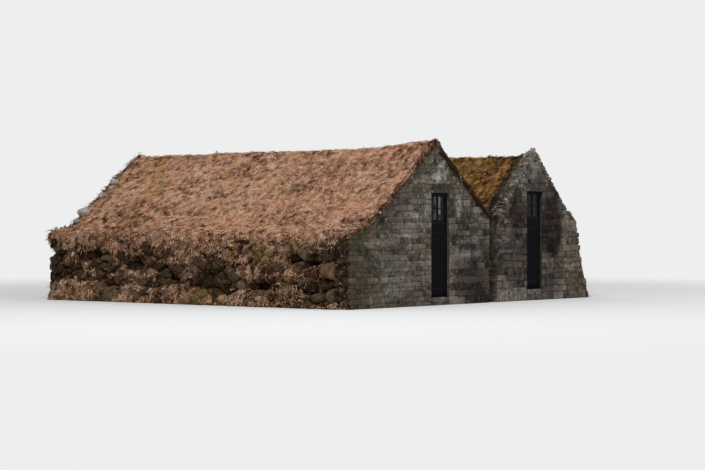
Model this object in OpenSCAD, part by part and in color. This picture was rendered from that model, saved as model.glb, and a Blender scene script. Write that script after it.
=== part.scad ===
// Twin-gabled turf house: two turf-roofed rooms side by side behind one masonry front.
// X runs along the front to the right, Y from the front to the back, Z up.
// The origin is on the ground, under the centre of the whole house.

/* [Walls] */
// Length of the house from the front face to the back face
house_l = 10400; // [8000:100:12000]
// Height of the two outer side walls
wall_h = 1650; // [1550:10:1750]
// How far the wall between the two rooms rises above the outer walls
middle_wall_rise = 50; // [0:5:90]
// Thickness of the left side wall at its top
left_wall_t = 1250; // [900:10:1500]
// How far the left side wall's foot stands out past its top
left_wall_batter = 150; // [60:10:400]
// Thickness of the wall between the rooms
middle_wall_t = 1150; // [950:10:1300]
// Thickness of the right side wall at its top
right_wall_t = 900; // [750:10:1200]
// How far the right side wall's foot stands out past its top
right_wall_batter = 900; // [650:10:1100]
// Thickness of the masonry front
front_wall_t = 450; // [350:10:600]
// Thickness of the back walls
back_wall_t = 700; // [500:10:900]

/* [Rooms] */
// Clear width of the left room
left_room_w = 4100; // [3600:10:4500]
// Clear width of the right room
right_room_w = 2600; // [2400:10:3000]

/* [Roofs] */
// Pitch of the left roof in degrees
left_pitch = 37.5; // [33:0.5:42]
// Pitch of the right roof in degrees
right_pitch = 44; // [40:0.5:47]
// How far the tops of the left wall plates lie above the outer walls
left_plate_rise = 340; // [280:5:380]
// How far the tops of the right wall plates lie above the outer walls
right_plate_rise = 540; // [480:5:600]
// Thickness of the turf on the slopes
turf_t = 250; // [180:5:320]
// Height of the turf's cut edge above the side walls
eave_turf_h = 220; // [150:10:300]
// How far the turf's edge hangs out past the side wall's top
eave_overhang = 50; // [20:5:90]
// How far the turf hangs out past the front and the back
verge_overhang = 60; // [20:5:120]
// Thickness of the turf that laps over the left gable
turf_lap_t = 100; // [60:5:150]
// How far the turf on the left gable is heaped above the roof's turf
gable_heap = 90; // [0:5:120]
// Width of the flatter turf shoulder over the left side wall
left_shoulder_w = 750; // [600:10:900]
// Width of the flatter turf shoulder over the right side wall
right_shoulder_w = 700; // [550:10:800]
// Thickness of the roof boards
board_t = 28; // [20:1:40]
// Clearance between the roof's slanting layers, and beside the rubble in the joint
layer_gap = 0.1; // [0.05:0.05:0.5]

/* [Roof timbers] */
// Depth of the rafters
rafter_d = 110; // [90:5:140]
// Width of the rafters and tie beams
rafter_w = 90; // [60:5:120]
// Depth of the tie beams
tie_d = 110; // [90:5:140]
// Number of frames of posts and tie beam along each room
frame_count = 5; // [4:1:6]
// Clear distance from the first and last frame to the gable walls
frame_inset = 350; // [250:10:500]
// Width of the wall plates
plate_w = 120; // [110:5:150]
// Depth of the wall plates
plate_d = 120; // [90:5:150]
// Side of the square posts
post_w = 100; // [80:5:110]
// Width of the ridge beams
ridge_w = 90; // [70:5:120]
// Depth of the ridge beams
ridge_d = 160; // [120:5:200]

/* [Front masonry] */
// Width of the rubble joint between the two fronts
joint_w = 340; // [250:10:420]
// Depth of the rubble joint behind the front face
joint_recess = 130; // [60:10:200]
// How far the joint's rubble stops below the turf in the valley
joint_drop = 100; // [60:10:300]
// How far the right gable's top stands above its turf at the ridge
parapet_rise = 150; // [100:10:220]
// Pitch of the right gable's masonry in degrees
parapet_pitch = 45.5; // [44:0.5:48]
// How far the right front corner's top lies inside the turf's edge
corner_inset = 150; // [80:10:200]
// Height of the kink in the right front corner
corner_kink_h = 1300; // [900:10:1400]
// How far the corner stands out at the kink, past its top
corner_kink_out = 150; // [100:10:250]
// How far the corner stands out at the ground, past its top
corner_foot_out = 650; // [500:10:700]
// Height of the lintels
lintel_h = 210; // [150:10:260]
// Length of a lintel that rests on the wall each side
lintel_bearing = 180; // [120:10:260]

/* [Doorways] */
// Width of each opening in the masonry
opening_w = 740; // [700:10:850]
// Height of the left threshold above the ground
left_sill_h = 200; // [100:10:300]
// Height of the right threshold above the ground
right_sill_h = 300; // [150:10:350]
// How far the left door stands to the right of its ridge
left_door_shift = 250; // [0:10:350]
// How far the frames and doors stand back from the front face
recess = 60; // [50:5:90]
// Width of the frame's timbers, seen from the front
frame_w = 50; // [40:1:60]
// Depth of the frame's timbers
frame_d = 100; // [90:5:120]
// Height of the door's opening, up to the transom
door_opening_h = 1840; // [1750:10:1900]
// Height of the window's opening, above the transom
window_h = 670; // [600:10:740]
// Height of the transom
transom_h = 60; // [50:5:80]
// Width of the stop behind each side of the door
stop_w = 12; // [8:1:20]

/* [Doors] */
// Thickness of the door's planks
leaf_t = 32; // [25:1:38]
// Clearance round the door
leaf_gap = 6; // [5:0.5:8]
// Height of a ledge on the back of the door
ledge_h = 90; // [70:5:120]
// Thickness of a ledge
ledge_t = 20; // [15:1:25]
// Distance from the ledges to the door's edges
ledge_inset = 35; // [30:1:60]
// Distance from the door's ends to the middle of the end ledges
ledge_end = 200; // [150:10:300]
// Radius of the hinge pins
pin_r = 6; // [5:0.5:8]
// Running clearance round the hinge pins
pin_gap = 0.3; // [0.2:0.1:0.5]
// Wall of the eye round a hinge pin
eye_wall = 4.5; // [4:0.5:7]
// Clearance between the eyes and the frame's face
eye_stand = 2; // [1:0.5:3]
// Height of a strap and its eye
strap_h = 40; // [35:1:50]
// Thickness of the straps
strap_t = 5; // [4:0.5:6]
// Length of the straps past the pin
strap_l = 470; // [350:10:520]
// Clearance under an eye
eye_gap = 0.3; // [0.2:0.1:0.6]
// Thickness of a pintle's arm
arm_t = 12; // [10:1:18]
// Width of a pintle's plate on the frame
plate_l = 20; // [16:1:24]
// Height of the pull handle
pull_h = 180; // [140:5:220]
// Height of the pull handle's middle above the door's foot
pull_z = 950; // [850:10:1050]
// Thickness of the pull handle's bar
pull_t = 12; // [10:1:16]
// Clear gap behind the pull handle
pull_gap = 30; // [28:1:34]
// Distance from the pull handle to the door's free edge
pull_inset = 80; // [60:5:110]

/* [Windows] */
// Width of the sash's outer members
sash_w = 42; // [35:1:50]
// Thickness of the sash
sash_t = 40; // [35:1:50]
// Width of the glazing bars
bar_w = 22; // [18:1:30]
// Thickness of the glass
glass_t = 4; // [3:0.5:6]
// Depth of the groove that holds the glass
groove = 6; // [4:1:8]
// Distance from the frame's front to the sash
sash_setback = 15; // [10:1:30]

/* [Hidden] */
// The two slopes' boards stop this far from the ridge line and from the valley
ridge_gap = 2;
valley_gap = 30;
// Cuts run this far past what they cut
past = 1000;

total_w = left_wall_batter + left_wall_t + left_room_w + middle_wall_t + right_room_w + right_wall_t
        + right_wall_batter;
left_foot_x = -total_w / 2;
left_top_x = left_foot_x + left_wall_batter;
left_room_x = left_top_x + left_wall_t;
middle_wall_x = left_room_x + left_room_w;
right_room_x = middle_wall_x + middle_wall_t;
right_wall_x = right_room_x + right_room_w;
right_top_x = right_wall_x + right_wall_t;
right_foot_x = right_top_x + right_wall_batter;

front_y = -house_l / 2;
inside_front_y = front_y + front_wall_t;
back_y = house_l / 2;
inside_back_y = back_y - back_wall_t;

// Every value of the two rooms is picked by the room's name, "left" or "right".
function pick(room, left, right) = room == "left" ? left : right;
function half_room(room) = pick(room, left_room_w, right_room_w) / 2;
function ridge_x(room) = pick(room, left_room_x, right_room_x) + half_room(room);
function pitch(room) = pick(room, left_pitch, right_pitch);
function plate_z(room) = wall_h + pick(room, left_plate_rise, right_plate_rise);
function sill_z(room) = pick(room, left_sill_h, right_sill_h);
function door_x(room) = ridge_x(room) + pick(room, left_door_shift, 0);

// Heights of the roof's layers at a distance out from the ridge
function rafter_foot_z(room, run) =
    plate_z(room) + (half_room(room) - plate_w / 2 - run) * tan(pitch(room));
function rafter_top_z(room, run) = rafter_foot_z(room, run) + rafter_d / cos(pitch(room));
function board_foot_z(room, run) = rafter_top_z(room, run) + layer_gap / cos(pitch(room));
function board_top_z(room, run) = board_foot_z(room, run) + board_t / cos(pitch(room));
function turf_foot_z(room, run) = board_top_z(room, run) + layer_gap / cos(pitch(room));
function turf_z(room, run) = turf_foot_z(room, run) + turf_t / cos(pitch(room));

// The two roofs' turf meets along the valley
valley_x = (turf_z("left", 0) - turf_z("right", 0) + ridge_x("left") * tan(left_pitch)
            + ridge_x("right") * tan(right_pitch)) / (tan(left_pitch) + tan(right_pitch));
function valley_run(room) = abs(valley_x - ridge_x(room));
valley_z = turf_z("left", valley_run("left"));
function joint_run(room) = valley_run(room) - joint_w / 2;

// The turf's outer edge, and the flatter shoulder inside it
function eave_run(room) =
    pick(room, ridge_x("left") - left_top_x, right_top_x - ridge_x("right")) + eave_overhang;
function shoulder_run(room) = eave_run(room) - pick(room, left_shoulder_w, right_shoulder_w);
eave_z = wall_h + eave_turf_h;
middle_wall_z = wall_h + middle_wall_rise;

// Where the boards end: on the wall's top, or short of the valley
function seat_z(side) = side == "outer" ? wall_h : middle_wall_z;
function seated_run(room, z) = (board_foot_z(room, 0) - z) / tan(pitch(room));
function board_end(room, side) =
    side == "outer" ? seated_run(room, seat_z(side))
                    : min(seated_run(room, seat_z(side)), valley_run(room) - valley_gap);

// The right front wall stands above its turf
function parapet_z(run) = turf_z("right", 0) + parapet_rise - run * tan(parapet_pitch);
corner_run = eave_run("right") - corner_inset;
corner_z = eave_z + parapet_rise
         + (turf_z("right", shoulder_run("right")) - eave_z) * corner_inset / right_shoulder_w;

// Frames of posts and tie beam, with a rafter pair at each and one between
rafter_count = 2 * frame_count - 1;
rafter_step = (inside_back_y - inside_front_y - 2 * frame_inset - rafter_w) / (rafter_count - 1);
function rafter_y(i) = inside_front_y + frame_inset + i * rafter_step;

// Doors and windows, from the opening's own values
opening_h = door_opening_h + transom_h + window_h + frame_w;
clear_w = opening_w - 2 * frame_w;
leaf_w = clear_w - 2 * leaf_gap;
leaf_h = door_opening_h - 2 * leaf_gap;
leaf_y = front_y + recess;
eye_r = pin_r + pin_gap + eye_wall;
pin_stand = eye_r + eye_stand;
hinge_y = leaf_y - pin_stand;
function hinge_x(room) = door_x(room) - clear_w / 2 + leaf_gap / 2;
ledge_heights = [ledge_end, leaf_h / 2, leaf_h - ledge_end];
strap_heights = [ledge_end, leaf_h - ledge_end];
light_w = (clear_w - 2 * sash_w - bar_w) / 2;
light_h = (window_h - 2 * sash_w - bar_w) / 2;
sash_y = leaf_y + sash_setback;

timber = "#7d6a55";
grey_stone = "#8d867a";
dark_stone = "#5c554c";
dry_turf = "#b98a5e";
moss_turf = "#94793a";
black_wood = "#23242b";
iron = "#3a3430";

// Draws an upright outline, X and Z, as a solid from one Y to another
module along(from_y, to_y) {
    translate([0, to_y, 0]) rotate([90, 0, 0]) linear_extrude(to_y - from_y) children();
}

// A box between two corners
module block(low, high) {
    translate(low) cube(high - low);
}

module at_ridge(room) {
    translate([ridge_x(room), 0, 0]) children();
}

// Draws what is given as runs out from the ridge on the outer side or the valley side
module on_side(room, side) {
    if ((room == "left") == (side == "outer")) mirror([1, 0, 0]) children();
    else children();
}

// The front wall's whole outline, out from the ridge
function lap_z(run) = turf_z("left", run) + gable_heap;
module left_front_outline() {
    outer = eave_run("left");
    shoulder = shoulder_run("left");
    inner = joint_run("left");
    polygon([[-outer, 0], [-outer, eave_z - turf_lap_t], [-shoulder, lap_z(shoulder) - turf_lap_t],
             [0, lap_z(0) - turf_lap_t], [inner, lap_z(inner) - turf_lap_t], [inner, 0]]);
}

module right_front_outline() {
    inner = joint_run("right");
    shoulder = shoulder_run("right");
    polygon([[-inner, 0], [-inner, parapet_z(inner)], [0, parapet_z(0)],
             [shoulder, parapet_z(shoulder)], [corner_run, corner_z],
             [corner_run + corner_kink_out, corner_kink_h], [corner_run + corner_foot_out, 0]]);
}

module front_outline(room) {
    if (room == "left") left_front_outline();
    else right_front_outline();
}

module lintel_outline(room) {
    half = opening_w / 2 + lintel_bearing;
    shift = door_x(room) - ridge_x(room);
    translate([shift - half, sill_z(room) + opening_h]) square([2 * half, lintel_h]);
}

function gable_foot_z(room) = sill_z(room) + opening_h + lintel_h;

// One side of the doorway, up to the top of the lintel
module front_pier(room, towards) {
    shift = door_x(room) - ridge_x(room) + towards * opening_w / 2;
    color(grey_stone) at_ridge(room) along(front_y, inside_front_y)
        difference() {
            intersection() {
                front_outline(room);
                translate([towards > 0 ? shift : shift - total_w, 0]) square([total_w, gable_foot_z(room)]);
            }
            lintel_outline(room);
        }
}

module front_gable(room) {
    color(grey_stone) at_ridge(room) along(front_y, inside_front_y)
        intersection() {
            front_outline(room);
            translate([-total_w / 2, gable_foot_z(room)]) square([total_w, total_w]);
        }
}

module lintels() {
    color(grey_stone) for (room = ["left", "right"])
        at_ridge(room) along(front_y, inside_front_y) lintel_outline(room);
}

module thresholds() {
    color(grey_stone) for (room = ["left", "right"])
        block([door_x(room) - opening_w / 2, front_y, 0],
              [door_x(room) + opening_w / 2, inside_front_y, sill_z(room)]);
}

// The rubble that fills the joint between the two fronts
module middle_wall_end() {
    half = joint_w / 2 - layer_gap;
    color(dark_stone) block([valley_x - half, front_y + joint_recess, 0],
                            [valley_x + half, inside_front_y, valley_z - joint_drop]);
}

module left_side_wall() {
    color(dark_stone) along(inside_front_y, back_y)
        polygon([[left_foot_x, 0], [left_top_x, wall_h], [left_room_x, wall_h], [left_room_x, 0]]);
}

module middle_wall() {
    color(dark_stone) block([middle_wall_x, inside_front_y, 0], [right_room_x, back_y, middle_wall_z]);
}

module right_side_wall() {
    color(dark_stone) along(inside_front_y, back_y)
        polygon([[right_wall_x, 0], [right_wall_x, wall_h], [right_top_x, wall_h], [right_foot_x, 0]]);
}

// Half of a back wall: it fills the room and spreads over the side walls, up to the turf
function half_back(room, side) =
    [[half_room(room), 0], [half_room(room), seat_z(side)], [board_end(room, side), seat_z(side)],
     [board_end(room, side), board_top_z(room, board_end(room, side))]];

module back_wall(room) {
    right = half_back(room, pick(room, "valley", "outer"));
    left = half_back(room, pick(room, "outer", "valley"));
    left_mirrored = [for (i = [len(left) - 1 : -1 : 0]) [-left[i][0], left[i][1]]];
    color(grey_stone) at_ridge(room) along(inside_back_y, back_y)
        polygon(concat(right, [[0, board_top_z(room, 0)]], left_mirrored));
}

module posts(room) {
    color(timber) for (i = [0 : 2 : rafter_count - 1]) for (s = [-1, 1])
        translate([ridge_x(room) + s * (half_room(room) - plate_w / 2) - post_w / 2,
                   rafter_y(i) + rafter_w / 2 - post_w / 2, 0])
            cube([post_w, post_w, plate_z(room) - plate_d]);
}

module plate_outline(room) {
    translate([half_room(room) - plate_w, plate_z(room) - plate_d]) square([plate_w, plate_d]);
}

module wall_plates(room) {
    color(timber) at_ridge(room) along(inside_front_y, inside_back_y)
        for (side = ["outer", "valley"]) on_side(room, side) plate_outline(room);
}

// A tie beam lies on both plates and fits between the rafters' feet
module tie_outline(room) {
    top_z = plate_z(room) + tie_d;
    foot = half_room(room) - plate_w / 2 - layer_gap / sin(pitch(room));
    head = foot - tie_d / tan(pitch(room));
    polygon([[-foot, plate_z(room)], [foot, plate_z(room)], [head, top_z], [-head, top_z]]);
}

module tie_beams(room) {
    color(timber) for (i = [0 : 2 : rafter_count - 1])
        at_ridge(room) along(rafter_y(i), rafter_y(i) + rafter_w) tie_outline(room);
}

module ridge_beam(room) {
    half = ridge_w / 2;
    foot_z = rafter_top_z(room, 0) - ridge_d;
    color(timber) at_ridge(room) along(inside_front_y, inside_back_y)
        polygon([[-half, foot_z], [half, foot_z], [half, rafter_top_z(room, half)],
                 [0, rafter_top_z(room, 0)], [-half, rafter_top_z(room, half)]]);
}

// A rafter leans on the ridge beam, is notched over the plate and ends on the wall's top
module rafter_outline(room, side) {
    top = ridge_w / 2;
    end = board_end(room, side);
    difference() {
        intersection() {
            polygon([[top, rafter_foot_z(room, top)], [end, rafter_foot_z(room, end)],
                     [end, rafter_top_z(room, end)], [top, rafter_top_z(room, top)]]);
            translate([0, seat_z(side)]) square([total_w, total_w]);
        }
        plate_outline(room);
    }
}

module rafters(room) {
    color(timber) for (i = [0 : rafter_count - 1]) for (side = ["outer", "valley"])
        at_ridge(room) along(rafter_y(i), rafter_y(i) + rafter_w)
            on_side(room, side) rafter_outline(room, side);
}

module roof_boards(room) {
    color(timber) for (side = ["outer", "valley"]) {
        end = board_end(room, side);
        at_ridge(room) along(inside_front_y, inside_back_y) on_side(room, side)
            polygon([[ridge_gap, board_foot_z(room, ridge_gap)], [end, board_foot_z(room, end)],
                     [end, board_top_z(room, end)], [ridge_gap, board_top_z(room, ridge_gap)]]);
    }
}

// The turf's top, out from the ridge to the eave or to the valley
function turf_top(room, side) =
    side == "outer" ? [[eave_run(room), eave_z], [shoulder_run(room), turf_z(room, shoulder_run(room))],
                       [0, turf_z(room, 0)]]
                    : [[valley_run(room), turf_z(room, valley_run(room))], [0, turf_z(room, 0)]];

module turf_outline(room, side) {
    end = board_end(room, side);
    edge = side == "outer" ? eave_run(room) : valley_run(room);
    polygon(concat([[0, turf_foot_z(room, 0)], [end, turf_foot_z(room, end)], [end, seat_z(side)],
                    [edge, seat_z(side)]], turf_top(room, side)));
}

// The thin turf that laps over the left front wall
module lap_outline(side) {
    shoulder = shoulder_run("left");
    edge = joint_run("left");
    top = side == "outer" ? [[eave_run("left"), eave_z], [shoulder, lap_z(shoulder)], [0, lap_z(0)]]
                          : [[edge, lap_z(edge)], [0, lap_z(0)]];
    underside = [for (i = [len(top) - 1 : -1 : 0]) top[i] - [0, turf_lap_t]];
    polygon(concat(top, underside));
}

module roof_turf(room, side) {
    color(side == "valley" && room == "right" ? moss_turf : dry_turf) at_ridge(room) {
        along(inside_front_y, back_y + verge_overhang) on_side(room, side) turf_outline(room, side);
        if (room == "left")
            along(front_y - verge_overhang, inside_front_y) on_side(room, side) lap_outline(side);
    }
}

// Two jambs, a head and a transom, with a stop behind the door
module door_frame(room) {
    half = opening_w / 2;
    clear = clear_w / 2;
    foot_z = sill_z(room);
    head_z = foot_z + opening_h;
    transom_z = foot_z + door_opening_h;
    stop_y = leaf_y + leaf_t + leaf_gap;
    back = leaf_y + frame_d;
    color(timber) translate([door_x(room), 0, 0]) {
        for (s = [-1, 1]) {
            block([s > 0 ? clear : -half, leaf_y, foot_z], [s > 0 ? half : -clear, back, head_z]);
            block([s > 0 ? clear - stop_w : -clear, stop_y, foot_z],
                  [s > 0 ? clear : stop_w - clear, back, transom_z]);
        }
        block([-clear, leaf_y, head_z - frame_w], [clear, back, head_z]);
        block([-clear, leaf_y, transom_z], [clear, back, transom_z + transom_h]);
    }
}

module in_leaf(room) {
    translate([door_x(room) - leaf_w / 2, leaf_y, sill_z(room) + leaf_gap]) children();
}

module door_leaf(room) {
    color(black_wood) in_leaf(room) cube([leaf_w, leaf_t, leaf_h]);
}

module door_ledges(room) {
    color(black_wood) in_leaf(room) for (z = ledge_heights)
        translate([ledge_inset, leaf_t, z - ledge_h / 2]) cube([leaf_w - 2 * ledge_inset, ledge_t, ledge_h]);
}

// A strap lies on the door's face and ends in an eye round the hinge pin
module strap() {
    difference() {
        union() {
            cylinder(h = strap_h, r = eye_r, $fn = 48);
            translate([leaf_gap / 2, pin_stand - strap_t, 0]) cube([strap_l, strap_t, strap_h]);
        }
        translate([0, 0, -past]) cylinder(h = strap_h + 2 * past, r = pin_r + pin_gap, $fn = 48);
    }
}

module pull_handle() {
    translate([0, -pull_gap - pull_t, 0]) cube([pull_t, pull_t, pull_h]);
    for (z = [0, pull_h - pull_t]) translate([0, -pull_gap, z]) cube([pull_t, pull_gap, pull_t]);
}

module door_ironwork(room) {
    foot_z = sill_z(room) + leaf_gap;
    color(iron) {
        for (z = strap_heights) translate([hinge_x(room), hinge_y, foot_z + z - strap_h / 2]) strap();
        in_leaf(room) translate([leaf_w - pull_inset, 0, pull_z - pull_h / 2]) pull_handle();
    }
}

// A pintle is a pin on an arm, with a plate on the frame's face
module pintle() {
    plate_y = pin_stand - strap_t;
    plate_x = -eye_r - leaf_gap - plate_l;
    translate([0, 0, -arm_t - eye_gap]) {
        cylinder(h = arm_t, r = eye_r, $fn = 48);
        translate([plate_x, plate_y, 0]) cube([-plate_x, strap_t, arm_t]);
        translate([plate_x, plate_y, -strap_h]) cube([plate_l, strap_t, 2 * strap_h]);
        cylinder(h = arm_t + eye_gap + strap_h, r = pin_r, $fn = 48);
    }
}

module pintles(room) {
    foot_z = sill_z(room) + leaf_gap;
    color(iron) for (z = strap_heights)
        translate([hinge_x(room), hinge_y, foot_z + z - strap_h / 2]) pintle();
}

// Draws something at each of the window's four lights, from its low corner
module at_lights() {
    for (i = [0, 1]) for (j = [0, 1])
        translate([sash_w + i * (light_w + bar_w), 0, sash_w + j * (light_h + bar_w)]) children();
}

module in_window(room) {
    translate([door_x(room) - clear_w / 2, sash_y, sill_z(room) + door_opening_h + transom_h]) children();
}

module pane() {
    translate([-groove, (sash_t - glass_t) / 2, -groove])
        cube([light_w + 2 * groove, glass_t, light_h + 2 * groove]);
}

module window_sash(room) {
    color(timber) in_window(room) difference() {
        cube([clear_w, sash_t, window_h]);
        at_lights() {
            translate([0, -past, 0]) cube([light_w, sash_t + 2 * past, light_h]);
            pane();
        }
    }
}

module window_glass(room) {
    color([0.35, 0.42, 0.42, 0.5]) in_window(room) at_lights() pane();
}

front_pier("left", -1);  // left_front_outer_pier
front_pier("left", 1);  // left_front_inner_pier
front_gable("left");  // left_front_gable
front_pier("right", -1);  // right_front_inner_pier
front_pier("right", 1);  // right_front_outer_pier
front_gable("right");  // right_front_gable
lintels();
thresholds();
middle_wall_end();
left_side_wall();
middle_wall();
right_side_wall();
back_wall("left");  // left_back_wall
back_wall("right");  // right_back_wall
posts("left");  // left_posts
posts("right");  // right_posts
wall_plates("left");  // left_wall_plates
wall_plates("right");  // right_wall_plates
tie_beams("left");  // left_tie_beams
tie_beams("right");  // right_tie_beams
ridge_beam("left");  // left_ridge_beam
ridge_beam("right");  // right_ridge_beam
rafters("left");  // left_rafters
rafters("right");  // right_rafters
roof_boards("left");  // left_roof_boards
roof_boards("right");  // right_roof_boards
roof_turf("left", "outer");  // left_roof_turf_outer
roof_turf("left", "valley");  // left_roof_turf_valley
roof_turf("right", "valley");  // right_roof_turf_valley
roof_turf("right", "outer");  // right_roof_turf_outer
door_frame("left");  // left_door_frame
door_frame("right");  // right_door_frame
door_leaf("left");  // left_door
door_leaf("right");  // right_door
door_ledges("left");  // left_door_ledges
door_ledges("right");  // right_door_ledges
door_ironwork("left");  // left_door_ironwork
door_ironwork("right");  // right_door_ironwork
pintles("left");  // left_pintles
pintles("right");  // right_pintles
window_sash("left");  // left_window_sash
window_sash("right");  // right_window_sash
window_glass("left");  // left_window_glass
window_glass("right");  // right_window_glass
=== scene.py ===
"""Looks of the twin-gabled turf house: stones, turf, planks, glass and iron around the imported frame.

X runs along the front to the right, Y from the front to the back, Z up, in metres, as in the CAD model.
"""

import math

import bpy
import numpy as np
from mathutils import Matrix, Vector
from mathutils.geometry import tessellate_polygon

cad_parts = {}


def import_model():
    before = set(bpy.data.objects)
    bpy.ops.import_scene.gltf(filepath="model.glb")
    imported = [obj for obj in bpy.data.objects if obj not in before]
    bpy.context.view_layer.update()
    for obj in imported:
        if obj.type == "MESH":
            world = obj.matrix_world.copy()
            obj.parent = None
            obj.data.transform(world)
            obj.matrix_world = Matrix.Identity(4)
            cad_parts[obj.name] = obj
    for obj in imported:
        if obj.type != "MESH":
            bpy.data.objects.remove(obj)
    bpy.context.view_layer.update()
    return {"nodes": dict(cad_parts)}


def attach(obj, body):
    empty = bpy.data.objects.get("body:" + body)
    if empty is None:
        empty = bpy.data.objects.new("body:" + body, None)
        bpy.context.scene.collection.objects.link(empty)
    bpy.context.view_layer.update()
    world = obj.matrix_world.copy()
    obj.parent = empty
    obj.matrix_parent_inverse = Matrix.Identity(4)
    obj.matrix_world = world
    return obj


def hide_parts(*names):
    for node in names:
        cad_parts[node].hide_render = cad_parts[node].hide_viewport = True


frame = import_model()

# The house's lines, as in the CAD model
FRONT, INSIDE_FRONT, INSIDE_BACK, BACK = -5.2, -4.75, 4.5, 5.2
VERGE = 0.06
WALL_TOP, MIDDLE_TOP, EAVE = 1.65, 1.70, 1.87
LEFT_FOOT, LEFT_TOP, LEFT_ROOM = -5.525, -5.375, -4.125
MIDDLE_WALL, RIGHT_ROOM, RIGHT_WALL, RIGHT_TOP, RIGHT_FOOT = -0.025, 1.125, 3.725, 4.625, 5.525
LEFT_CORNER, LEFT_CORNER_Z = -5.425, 1.77
LEFT_SHOULDER, LEFT_SHOULDER_Z, SHOULDER_RUN = -4.675, 2.001, 0.75
VALLEY_X, VALLEY_Z = 0.478, 2.047
JOINT = (0.308, 0.648)
JOINT_Y, JOINT_TOP = -5.07, 1.947
LEFT_RIDGE, LEFT_RIDGE_Z, LEFT_TAN = -2.075, 4.0062, math.tan(math.radians(37.5))
RIGHT_RIDGE, RIGHT_RIDGE_Z, RIGHT_TAN = 2.425, 3.9271, math.tan(math.radians(44))
PARAPET_Z, PARAPET_TAN = 4.077, math.tan(math.radians(45.5))
RIGHT_SHOULDER, RIGHT_EAVE = RIGHT_RIDGE + 1.55, RIGHT_RIDGE + 2.25
HEAP = 0.09
LAP_T = 0.10
GABLE_DROP = 0.01
LEFT_DOOR, RIGHT_DOOR, OPENING = -1.825, 2.425, 0.37
LEFT_SILL, RIGHT_SILL, OPENING_H, LINTEL_H, LINTEL_HALF = 0.2, 0.3, 2.62, 0.21, 0.55
RIGHT_WAY, LEFT_WAY, BACK_WAY, FORE_WAY, UPWARD = (1, 0, 0), (-1, 0, 0), (0, 1, 0), (0, -1, 0), (0, 0, 1)


def left_roof_z(x):
    """Height of the left turf's CAD surface, without the heap at the gable."""
    return LEFT_RIDGE_Z - abs(x - LEFT_RIDGE) * LEFT_TAN


# Noise and meshes in numpy
def lattice(cell, seed):
    """A repeatable random value from 0 to 1 for each integer cell."""
    h = seed * 2654435761
    for axis, prime in enumerate((73856093, 19349663, 83492791)):
        h = h ^ (cell[..., axis] * prime)
    h = (h ^ (h >> 13)) * 1274126177
    return ((h ^ (h >> 16)) & 0xFFFFFF) / 0xFFFFFF


def noise(p, size, seed=0, octaves=3, gain=0.5):
    """Smooth noise from about -1 to 1 at points p, with features of the given size in metres."""
    total, amp, norm = 0.0, 1.0, 0.0
    q = np.asarray(p, float) / size
    for i in range(octaves):
        base = np.floor(q).astype(np.int64)
        f = q - base
        f = f * f * (3 - 2 * f)
        value = 0.0
        for corner in range(8):
            offset = np.array([corner & 1, corner >> 1 & 1, corner >> 2 & 1])
            weight = np.prod(np.where(offset, f, 1 - f), axis=-1)
            value = value + weight * lattice(base + offset, seed + i)
        total = total + amp * (value * 2 - 1)
        norm += amp
        amp *= gain
        q = q * 2.03
    return total / norm


def smoothstep(low, high, v):
    """Goes smoothly from 0 where v is low to 1 where it is high."""
    t = np.clip((v - low) / (high - low), 0, 1)
    return t * t * (3 - 2 * t)


def flat_faces(outline):
    """Triangles that fill an outline, turning the way the outline does."""
    outline = np.asarray(outline, float)
    faces = np.array(tessellate_polygon([[Vector((u, v, 0)) for u, v in outline]]))

    def turning(p):
        x, y = p[..., :, 0], p[..., :, 1]
        return np.sum(x * np.roll(y, -1, -1) - np.roll(x, -1, -1) * y, -1)

    wrong = turning(outline[faces]) * turning(outline) < 0
    faces[wrong] = faces[wrong][:, ::-1]
    return faces


class Heap:
    """Gathers closed meshes and their per-point values for one object."""

    def __init__(self):
        self.points, self.faces, self.values, self.count = [], [], [], 0

    def add(self, points, faces, **values):
        points = np.asarray(points, float).reshape(-1, 3)
        points[:, 2] = np.maximum(points[:, 2], 0)
        faces = np.asarray(faces, np.int64).reshape(-1, 3)
        a, b, c = (points[faces[:, i]] - points[0] for i in range(3))
        if np.sum(a * np.cross(b, c)) < 0:
            faces = faces[:, ::-1]
        self.points.append(points)
        self.faces.append(faces + self.count)
        self.values.append({k: np.broadcast_to(np.asarray(v, float), len(points)) for k, v in values.items()})
        self.count += len(points)

    def build(self, name, material, slot, body="root", replaces=(), crease=180, **fields):
        """Makes the object. A field is a function that gives each point a value from its place."""
        points = np.concatenate(self.points)
        faces = np.concatenate(self.faces)
        mesh = bpy.data.meshes.new(name)
        mesh.vertices.add(len(points))
        mesh.vertices.foreach_set("co", points.ravel())
        mesh.loops.add(faces.size)
        mesh.loops.foreach_set("vertex_index", faces.ravel().astype(np.int32))
        mesh.polygons.add(len(faces))
        mesh.polygons.foreach_set("loop_start", np.arange(0, faces.size, 3, dtype=np.int32))
        mesh.polygons.foreach_set("use_smooth", np.full(len(faces), True))
        layers = {key: np.concatenate([v[key] for v in self.values]) for key in self.values[0]}
        layers.update((key, field(points)) for key, field in fields.items())
        for key, value in layers.items():
            layer = mesh.attributes.new(key, "FLOAT", "POINT")
            layer.data.foreach_set("value", value.astype(np.float32))
        mesh.update(calc_edges=True)
        mesh.validate()
        if crease < 180:
            mesh.set_sharp_from_angle(angle=math.radians(crease))
        obj = bpy.data.objects.new(name, mesh)
        bpy.context.scene.collection.objects.link(obj)
        mesh.materials.append(material)
        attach(obj, body)
        if replaces:
            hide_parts(*replaces)
        print(name, len(faces), "triangles")


def grid_faces(rows, columns, loop=False):
    """Triangles of a grid of points, row by row. With loop, the last column joins the first."""
    r, c = np.meshgrid(np.arange(rows - 1), np.arange(columns if loop else columns - 1), indexing="ij")
    a = r * columns + c
    b = r * columns + (c + 1) % columns
    return np.stack([a, b, b + columns, a, b + columns, a + columns], -1).reshape(-1, 3)


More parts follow.
